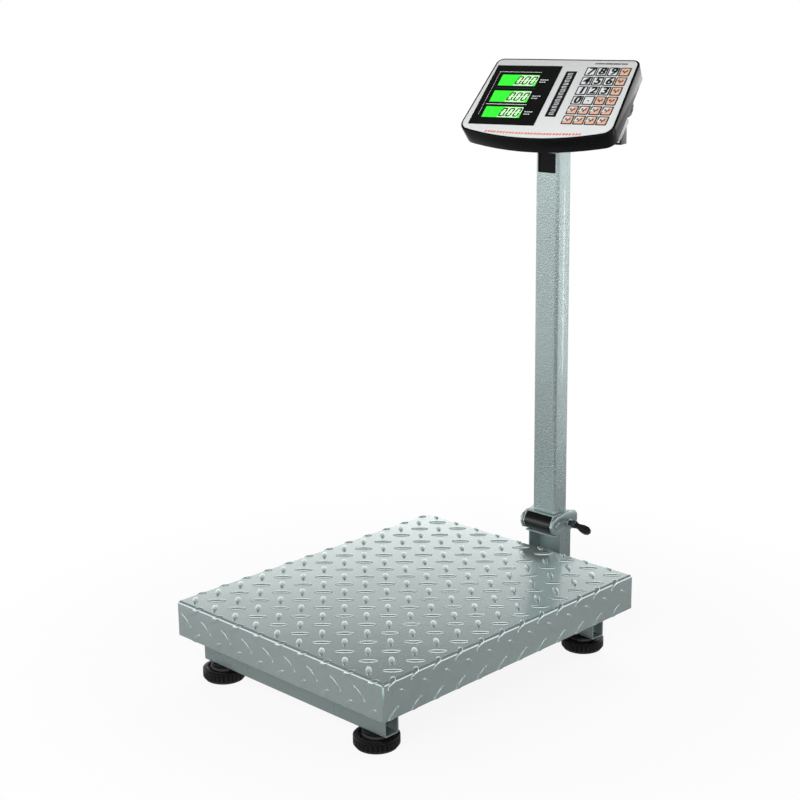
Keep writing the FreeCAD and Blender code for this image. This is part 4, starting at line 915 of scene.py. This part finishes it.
def case_plan(name, inset=0.0, level=0.0):
    """The face's outline as one flat polygon: sides that draw in to the back, a bowed front."""
    clear()
    bpy.ops.mesh.primitive_plane_add(size=1)
    plan = bpy.context.object
    plan.name = name
    plan.scale = (HEAD_WIDE - 2 * inset, HEAD_DEEP - 2 * inset, 1)
    bpy.ops.object.transform_apply(location=True, rotation=True, scale=True)
    edit(plan, "EDGE")
    front = -HEAD_DEEP / 2 + inset
    pick(plan, "edges", lambda edge: abs(mid(edge).y - front) < TOUCH)
    bpy.ops.mesh.subdivide(number_cuts=BOW_STEPS - 1)
    half = HEAD_WIDE / 2 - inset
    mesh = bmesh.from_edit_mesh(plan.data)
    for vert in mesh.verts:
        if abs(vert.co.y - front) < TOUCH:
            vert.co.y -= HEAD_BOW * (1 - (vert.co.x / half) ** 2)
        else:
            vert.co.x -= math.copysign(REAR_TAPER, vert.co.x)
        vert.co.z = level
    bmesh.update_edit_mesh(plan.data)
    bpy.ops.mesh.select_mode(type="VERT")
    for end, wide, radius in ((1, half - REAR_TAPER, REAR_CORNER), (-1, half, FRONT_CORNER)):
        pick(plan, "verts", lambda vert: abs(abs(vert.co.x) - wide) < TOUCH
             and abs(vert.co.y - end * (HEAD_DEEP / 2 - inset)) < TOUCH)
        bpy.ops.mesh.bevel(offset=radius - inset, segments=CORNER_STEPS, affect="VERTICES")
    return plan


case_black = moulding("case_black", (0.004, 0.004, 0.0045), 0.12, grain_depth=0.03, dust=0.01,
                      shine=0.10)
case = case_plan("upper_case_shell")
bpy.ops.mesh.select_mode(type="FACE")
bpy.ops.mesh.select_all(action="SELECT")
draw_out((0, 0, -SKIRT))
bpy.ops.transform.resize(value=(SKIRT_DRAW, SKIRT_DRAW, 1), center_override=(0, 0, -SKIRT))
face_outwards()
bpy.ops.mesh.select_mode(type="EDGE")
pick(case, "edges", lambda edge: min(vert.co.z for vert in edge.verts) > -TOUCH)
bpy.ops.mesh.bevel(offset=RIM_ROUND, segments=4, affect="EDGES")
bpy.ops.mesh.select_mode(type="FACE")
pick(case, "faces", lambda face: face.normal.z > 0.99 and len(face.verts) > 8)
bpy.ops.mesh.inset(thickness=RIM_WIDE - RIM_ROUND)
draw_out((0, 0, -FACE_RECESS))
pick(case, "faces", lambda face: face.normal.z < -0.99)
bpy.ops.mesh.delete(type="FACE")
clear()
modify(case, "SOLIDIFY", thickness=CASE_WALL, offset=-1)
break_edges(case, CASE_EDGE)
case.data.transform(head_place)
smooth(case, 40)
fit(case, "head", "case_black", case_black, "head_upper_case")

# ---------------------------------------------------------------- head: printed face
# A thin silver film covers the whole face. It is printed with the keys, a dark label strip and
# two rows of small strokes: a red one along the bowed front and a dark one over the keys.
FILM_EDGE, FILM_RAISE, FILM_SOFT = 0.0032, 0.0005, 0.0002
PRINT_THICK, IN_FILM, ON_LABEL = 0.0002, -0.0001, 0.00005


def film_paint(name, tone, gloss=0.38, metal=0.0):
    """Printed polyester film with a fine matt grain."""
    return moulding(name, tone, gloss, grain_depth=0.05, dust=0.06, grain_size=2600,
                    coat=0.15, dust_tone=[0.85 * shade for shade in tone], metal=metal)


film_silver = film_paint("film_silver", (0.80, 0.82, 0.815), metal=0.1)
ink_dark = film_paint("ink_dark", (0.006, 0.007, 0.008), 0.3)
ink_teal = film_paint("ink_teal", (0.018, 0.032, 0.036), 0.4)
ink_white = film_paint("ink_white", (0.80, 0.81, 0.81), 0.4)
ink_peach = film_paint("ink_peach", (0.84, 0.50, 0.36), 0.4)
ink_red = film_paint("ink_red", (0.80, 0.12, 0.04), 0.4)

film = case_plan("printed_face", inset=FILM_EDGE, level=-FACE_RECESS)
bpy.ops.mesh.select_mode(type="FACE")
bpy.ops.mesh.select_all(action="SELECT")
draw_out((0, 0, FILM_RAISE))
face_outwards()
clear()
break_edges(film, FILM_SOFT)
film.data.materials.append(film_silver)


def printed(name, x, y, wide, tall, paint, level, thick=PRINT_THICK, corner=0.0, lean=0.0):
    """A printed or raised field on the face: a small plate, its corners rounded, perhaps leant."""
    low = (x - wide / 2, y - tall / 2, level)
    plate = block(name, low, (x + wide / 2, y + tall / 2, level + thick))
    if corner:
        edit(plate)
        round_edges(plate, 2, corner)
        clear()
    for vert in plate.data.vertices:
        vert.co.x += (vert.co.y - y) * lean
    plate.data.materials.append(paint)
    return plate


LABEL_X, LABEL_Y, LABEL_WIDE, LABEL_TALL = 0.01555, 0.0007, 0.0167, 0.0926
LABEL_MARKS, LABEL_STEP, LABEL_LEAN = 13, 0.0067, 0.35
STROKE_WIDE, STROKE_THIN, STROKE_APART = 0.0072, 0.0011, 0.0015
LINK_THIN, LINK_TALL, LINK_SHIFT = 0.0012, 0.0040, 0.009
prints = [printed("label", LABEL_X, LABEL_Y, LABEL_WIDE, LABEL_TALL, ink_dark, IN_FILM)]
for index in range(LABEL_MARKS):
    mark_y = LABEL_Y + (index - (LABEL_MARKS - 1) / 2) * LABEL_STEP
    lean = LABEL_LEAN if index % 2 else -LABEL_LEAN
    for side in (-1, 1):
        prints.append(printed("mark", LABEL_X, mark_y + side * STROKE_APART, STROKE_WIDE,
                              STROKE_THIN, ink_white, ON_LABEL, lean=lean))
    prints.append(printed("mark", LABEL_X + lean * LINK_SHIFT, mark_y, LINK_THIN, LINK_TALL,
                          ink_white, ON_LABEL))


def stroke_row(left, y, count, step, dash, link, link_shift, group, ink, bow=0.0):
    """Leaning dashes that spell nothing, each linked to the next except once in a group."""
    for index in range(count):
        x = left + index * step
        rise = y - bow * (1 - (x / left) ** 2)
        prints.append(printed("dash", x, rise, *dash, ink, IN_FILM, lean=0.3))
        if index % group:
            prints.append(printed("dash", x + link_shift, rise, *link, ink, IN_FILM))


stroke_row(-0.072, -0.0780, count=31, step=0.00483, dash=(0.0022, 0.0036), link=(0.0016, 0.0011),
           link_shift=0.0018, group=3, ink=ink_red, bow=0.002)
stroke_row(0.0470, 0.0638, count=16, step=0.0031, dash=(0.0017, 0.0028), link=(0.0013, 0.0009),
           link_shift=0.0015, group=4, ink=ink_dark)

# Keys: four columns by six rows, each a dark frame with a raised pad in it. The digit keys are
# white; the others are peach with a plain mark, and those of the last two rows are half white.
KEYS_LEFT, KEYS_RIGHT, KEYS_LOW, KEYS_HIGH = 0.0359, 0.1052, -0.0603, 0.0573
KEY_LEGENDS = ("789#", "456#", "123#", "0.##", "####", "####")
KEY_COLUMNS, KEY_ROWS, HALF_WHITE_FROM = 4, 6, 4
key_step_x = (KEYS_RIGHT - KEYS_LEFT) / KEY_COLUMNS
key_step_y = (KEYS_HIGH - KEYS_LOW) / KEY_ROWS
KEY_GAP_X, KEY_GAP_Y, KEY_FRAME = 0.0010, 0.0022, 0.0019
FRAME_CORNER, PAD_CORNER, PAD_THICK = 0.0012, 0.0009, 0.00035
ON_PAD, MARK_ON_PAD = 0.0003, 0.00045
DIGIT_SIZE, DIGIT_SHEAR, DIGIT_WEIGHT, DIGIT_THICK = 0.0190, 0.15, 0.00045, 0.00008
DIGIT_PASSES = ((-0.00045, 0.00036), (0.00045, 0.00038))
MARK_DASHES = ((-0.0028, 0.0019), (0.0028, 0.0019), (0.0, -0.0019))


def drawn(text, x, y, level):
    """A digit cut from sheet, centred on its key."""
    clear()
    bpy.ops.object.text_add(location=(0, 0, 0))
    letter = bpy.context.object
    letter.data.body = text
    letter.data.size = DIGIT_SIZE
    letter.data.align_x = "CENTER"
    letter.data.align_y = "CENTER"
    letter.data.shear = DIGIT_SHEAR
    letter.data.offset = DIGIT_WEIGHT
    letter.data.extrude = DIGIT_THICK
    letter.data.resolution_u = 4
    bpy.ops.object.convert(target="MESH")
    letter = bpy.context.object
    letter.data.transform(Matrix.Translation((x, y, level)))
    letter.data.materials.clear()
    letter.data.materials.append(ink_dark)
    return letter


def make_key(legend, x, y, half_white):
    """One key's frame, pad and legend; each digit is drawn twice, a little apart, to thicken it."""
    wide, tall = key_step_x - KEY_GAP_X, key_step_y - KEY_GAP_Y
    pad_tone = ink_peach if legend == "#" else ink_white
    parts = [printed("frame", x, y, wide, tall, ink_dark, IN_FILM, corner=FRAME_CORNER),
             printed("pad", x, y, wide - 2 * KEY_FRAME, tall - 2 * KEY_FRAME, pad_tone, 0.0,
                     thick=PAD_THICK, corner=PAD_CORNER)]
    if legend.isdigit():
        return parts + [drawn(legend, x + shift, y, level) for shift, level in DIGIT_PASSES]
    if legend == ".":
        return parts + [printed("point", x, y - 0.001, 0.0026, 0.0022, ink_dark, ON_PAD,
                                corner=0.0007)]
    if half_white:
        parts.append(printed("half", x - wide * 0.19, y + tall * 0.12, wide * 0.34, tall * 0.46,
                             ink_white, ON_PAD, lean=0.4))
    for across, up in MARK_DASHES:
        parts.append(printed("dash", x + across, y + up, 0.0018, 0.0030, ink_teal, MARK_ON_PAD,
                             lean=0.3))
    parts.append(printed("dash", x, y, 0.0072, 0.0011, ink_teal, MARK_ON_PAD, lean=0.3))
    return parts


for row in range(KEY_ROWS):
    for column in range(KEY_COLUMNS):
        prints += make_key(KEY_LEGENDS[row][column], KEYS_LEFT + (column + 0.5) * key_step_x,
                           KEYS_HIGH - (row + 0.5) * key_step_y, row >= HALF_WHITE_FROM)
face = join("keypad_film", [film] + prints)
face.data.transform(head_place)
smooth(face, 40)
fit(face, "head", "overlay_film", film_silver, "keypad_overlay")

# ---------------------------------------------------------------- head: display
# Three green liquid-crystal rows stand behind a gloss black window printed with fine rules.
# Dark seven-bar digits lie over a paler, glowing field at each row's right end: a painted
# reflection.
WINDOW = (-0.1064, -0.0024, -0.0647, 0.0573)
ROWS = {"lcd_weight": (0.0147, 0.0378), "lcd_unit_price": (-0.0190, 0.0044),
        "lcd_total_price": (-0.0504, -0.0284)}
ROW_LEFT, ROW_RIGHT, ROW_SINK, ROW_PLAY = -0.0908, -0.0311, 0.0003, 0.0001
WINDOW_BACK, WINDOW_FRONT, ON_WINDOW = -0.0002, 0.0004, 0.00035
lens_black = moulding("lens_black", (0.004, 0.004, 0.0045), 0.12, grain_depth=0.01, dust=0.01,
                      coat=0.4)


def lit(name, tone, strength):
    """Back-lit display glass with a slightly uneven glow; it also makes the painted reflection
    glow.
    """
    paint = bpy.data.materials.new(name)
    paint.use_nodes = True
    tree = paint.node_tree
    surface = tree.nodes["Principled BSDF"]
    uneven = node(tree, "TexNoise", Scale=40.0, Detail=3.0)
    level = node(tree, "MapRange", From_Min=0.3, From_Max=0.7, To_Min=0.88, To_Max=1.08)
    wire(tree, (node(tree, "TexCoord").outputs["Object"], uneven.inputs["Vector"]),
         (uneven.outputs["Fac"], level.inputs["Value"]))
    shade = mix_colour(tree, "MULTIPLY", 1.0, (*tone, 1), level.outputs["Result"])
    wire(tree, (shade, surface.inputs["Base Color"]), (shade, surface.inputs["Emission Color"]))
    surface.inputs["Emission Strength"].default_value = strength
    surface.inputs["Roughness"].default_value = 0.15
    return paint


lcd_green = lit("lcd_green", (0.030, 0.62, 0.030), 0.85)
# The paler field is a painted reflection on the window, given a glow of its own.
lcd_pale = lit("lcd_pale", (0.50, 0.80, 0.45), 0.45)
segment_dark = moulding("segment_dark", (0.004, 0.02, 0.006), 0.2, dust=0.0)

lens = block("display_window", (WINDOW[0], WINDOW[2], WINDOW_BACK),
             (WINDOW[1], WINDOW[3], WINDOW_FRONT))
edit(lens)
for spot, way in [((0, edge, 0), (0, 1, 0)) for row in ROWS.values() for edge in row] + [
        ((edge, 0, 0), (1, 0, 0)) for edge in (ROW_LEFT, ROW_RIGHT)]:
    bpy.ops.mesh.select_all(action="SELECT")
    bpy.ops.mesh.bisect(plane_co=spot, plane_no=way)
pick(lens, "faces", lambda face: face.normal.z > 0.9 and ROW_LEFT < mid(face).x < ROW_RIGHT
     and any(low < mid(face).y < high for low, high in ROWS.values()))
draw_out((0, 0, -ROW_SINK))
clear()
lens.data.materials.append(lens_black)
RULES = ((-0.0645, 0.0435, 0.0680, 0.0006, ink_white), (-0.0600, 0.0095, 0.0640, 0.0012, ink_teal),
         (-0.0610, -0.0237, 0.0640, 0.0010, ink_white))
TICKS, TICK_X, TICK_LOW, TICK_STEP = 30, -0.0972, -0.0440, 0.0030
NAME_X, NAME_RISE, NAME_STEP_X, NAME_STEP_Y, NAME_DASHES = -0.0255, 0.0016, 0.0033, 0.0046, (4, 3)
marks = [printed("rule", *rule, ON_WINDOW) for rule in RULES]
for index in range(TICKS):
    marks.append(printed("tick", TICK_X, TICK_LOW + index * TICK_STEP, 0.0009, 0.0012, ink_white,
                         ON_WINDOW))
for low, high in ROWS.values():
    for line, dash_count in enumerate(NAME_DASHES):
        dash_y = (low + high) / 2 + NAME_RISE - line * NAME_STEP_Y
        for index in range(dash_count):
            marks.append(printed("dash", NAME_X + index * NAME_STEP_X, dash_y, 0.0024, 0.0017,
                                 ink_white, ON_WINDOW))
lens = join("display_window", [lens] + marks)
lens.data.transform(head_place)
fit(lens, "head", "lens_black", lens_black, "display_lens")

SEGMENT_LONG, SEGMENT_WIDE, SEGMENT_LEVEL, SEGMENT_THICK = 0.0070, 0.0022, 0.00018, 0.00006
SIDE_REACH, HALF_RISE, END_RISE = 0.46, 0.54, 1.06
DIGITS, FIRST_DIGIT, DIGIT_STEP, DIGIT_LEAN = 3, -0.0600, 0.0112, 0.22
POINT_X, POINT_SIZE = -0.0544, 0.0018
# Where the painted reflection lies on each row, how wide it is and how it leans.
REFLECTION_X, REFLECTION_WIDE, REFLECTION_EDGE, REFLECTION_LEAN = -0.0475, 0.0310, 0.0014, 0.35
GLASS_LEVEL, GLASS_THICK, REFLECTION_LEVEL, REFLECTION_THICK = -0.0001, 0.00025, 0.00012, 0.00004


def segment(x, y, upright):
    """One bar of a digit, pointed at both ends."""
    size = (SEGMENT_WIDE, SEGMENT_LONG) if upright else (SEGMENT_LONG, SEGMENT_WIDE)
    bar = printed("bar", x, y, *size, segment_dark, SEGMENT_LEVEL, thick=SEGMENT_THICK)
    edit(bar)
    round_edges(bar, 2, SEGMENT_WIDE * 0.45, steps=1)
    clear()
    return bar


def zero(x, y):
    """The figure 0: four uprights and two level bars."""
    uprights = [segment(x + side * SEGMENT_LONG * SIDE_REACH, y + end * SEGMENT_LONG * HALF_RISE,
                        True) for side in (-1, 1) for end in (-1, 1)]
    return uprights + [segment(x, y + end * SEGMENT_LONG * END_RISE, False) for end in (-1, 1)]


for row_name, (low, high) in ROWS.items():
    middle = (low + high) / 2
    glass = printed(row_name, (ROW_LEFT + ROW_RIGHT) / 2, middle, ROW_RIGHT - ROW_LEFT - ROW_PLAY,
                    high - low - ROW_PLAY, lcd_green, GLASS_LEVEL, thick=GLASS_THICK)
    # The painted reflection: a paler field leaning over the row's right end.
    pale = printed("pale", REFLECTION_X, middle, REFLECTION_WIDE, high - low - REFLECTION_EDGE, lcd_pale, REFLECTION_LEVEL,
                   thick=REFLECTION_THICK, lean=REFLECTION_LEAN)
    bars = [bar for index in range(DIGITS)
            for bar in zero(FIRST_DIGIT + index * DIGIT_STEP, middle)]
    bars.append(printed("point", POINT_X, middle - SEGMENT_LONG, POINT_SIZE, POINT_SIZE,
                        segment_dark, SEGMENT_LEVEL, thick=SEGMENT_THICK, corner=0.0004))
    digits = join("digits", bars)
    for vert in digits.data.vertices:
        vert.co.x += (vert.co.y - middle) * DIGIT_LEAN
    row = join(f"{row_name}_glass", [glass, pale, digits])
    row.data.transform(head_place)
    fit(row, "head", "lcd_green", lcd_green, row_name)

# ---------------------------------------------------------------- head: underside
# Under the face hang the flat lower case, the battery pod with its door, a charging socket and
# the cable gland; screws hold the two cases together.
pod_grey = moulding("pod_grey", (0.50, 0.51, 0.51), 0.36, grain_depth=0.12, dust=0.1)
case_floor = moulding("case_floor", (0.014, 0.014, 0.015), 0.4, grain_depth=0.2)
for node_name, slot_name, paint, edge in (
        ("head_lower_case", "case_floor", case_floor, 0.0006),
        ("battery_pod", "pod_grey", pod_grey, 0.0008),
        ("battery_door", "pod_grey", pod_grey, 0.0005),
        ("charging_socket", "plug_plastic", plug_black, 0.0003),
        ("cable_gland", "plug_plastic", plug_black, 0.0004),
        ("case_screws", "zinc_steel", zinc_plate, 0.0002)):
    fit(softened(f"{node_name}_moulding", node_name, edge), "head", slot_name, paint, node_name)

# ---------------------------------------------------------------- inner pieces
# The load cell with its spacers and bolts, the carrier's pads and stop screws, the weld nuts,
# the circuit board and the battery keep their own solids; each gets its own finish.
cell_alloy = metal("cell_alloy", (0.70, 0.71, 0.72), 0.35, grain_size=300, grain_depth=0.12)
pad_rubber = moulding("pad_rubber", (0.025, 0.025, 0.025), 0.8, grain_depth=0.3, dust=0.3)
board_green = moulding("board_green", (0.02, 0.16, 0.06), 0.35, grain_size=400)
battery_wrap = moulding("battery_wrap", (0.03, 0.10, 0.35), 0.3)
for paint, names in (
        (cell_alloy, ("load_cell", "cell_lower_spacer", "cell_upper_spacer")),
        (zinc_plate, ("cell_lower_bolts", "cell_upper_bolts", "overload_stop_screws",
                      "overload_stop_nuts", "foot_weld_nuts")),
        (pad_rubber, ("platter_pads",)), (board_green, ("main_board",)),
        (battery_wrap, ("battery_pack",))):
    for node_name in names:
        inner = frame["nodes"][node_name]
        inner.data.materials.clear()
        inner.data.materials.append(paint)

low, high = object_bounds()
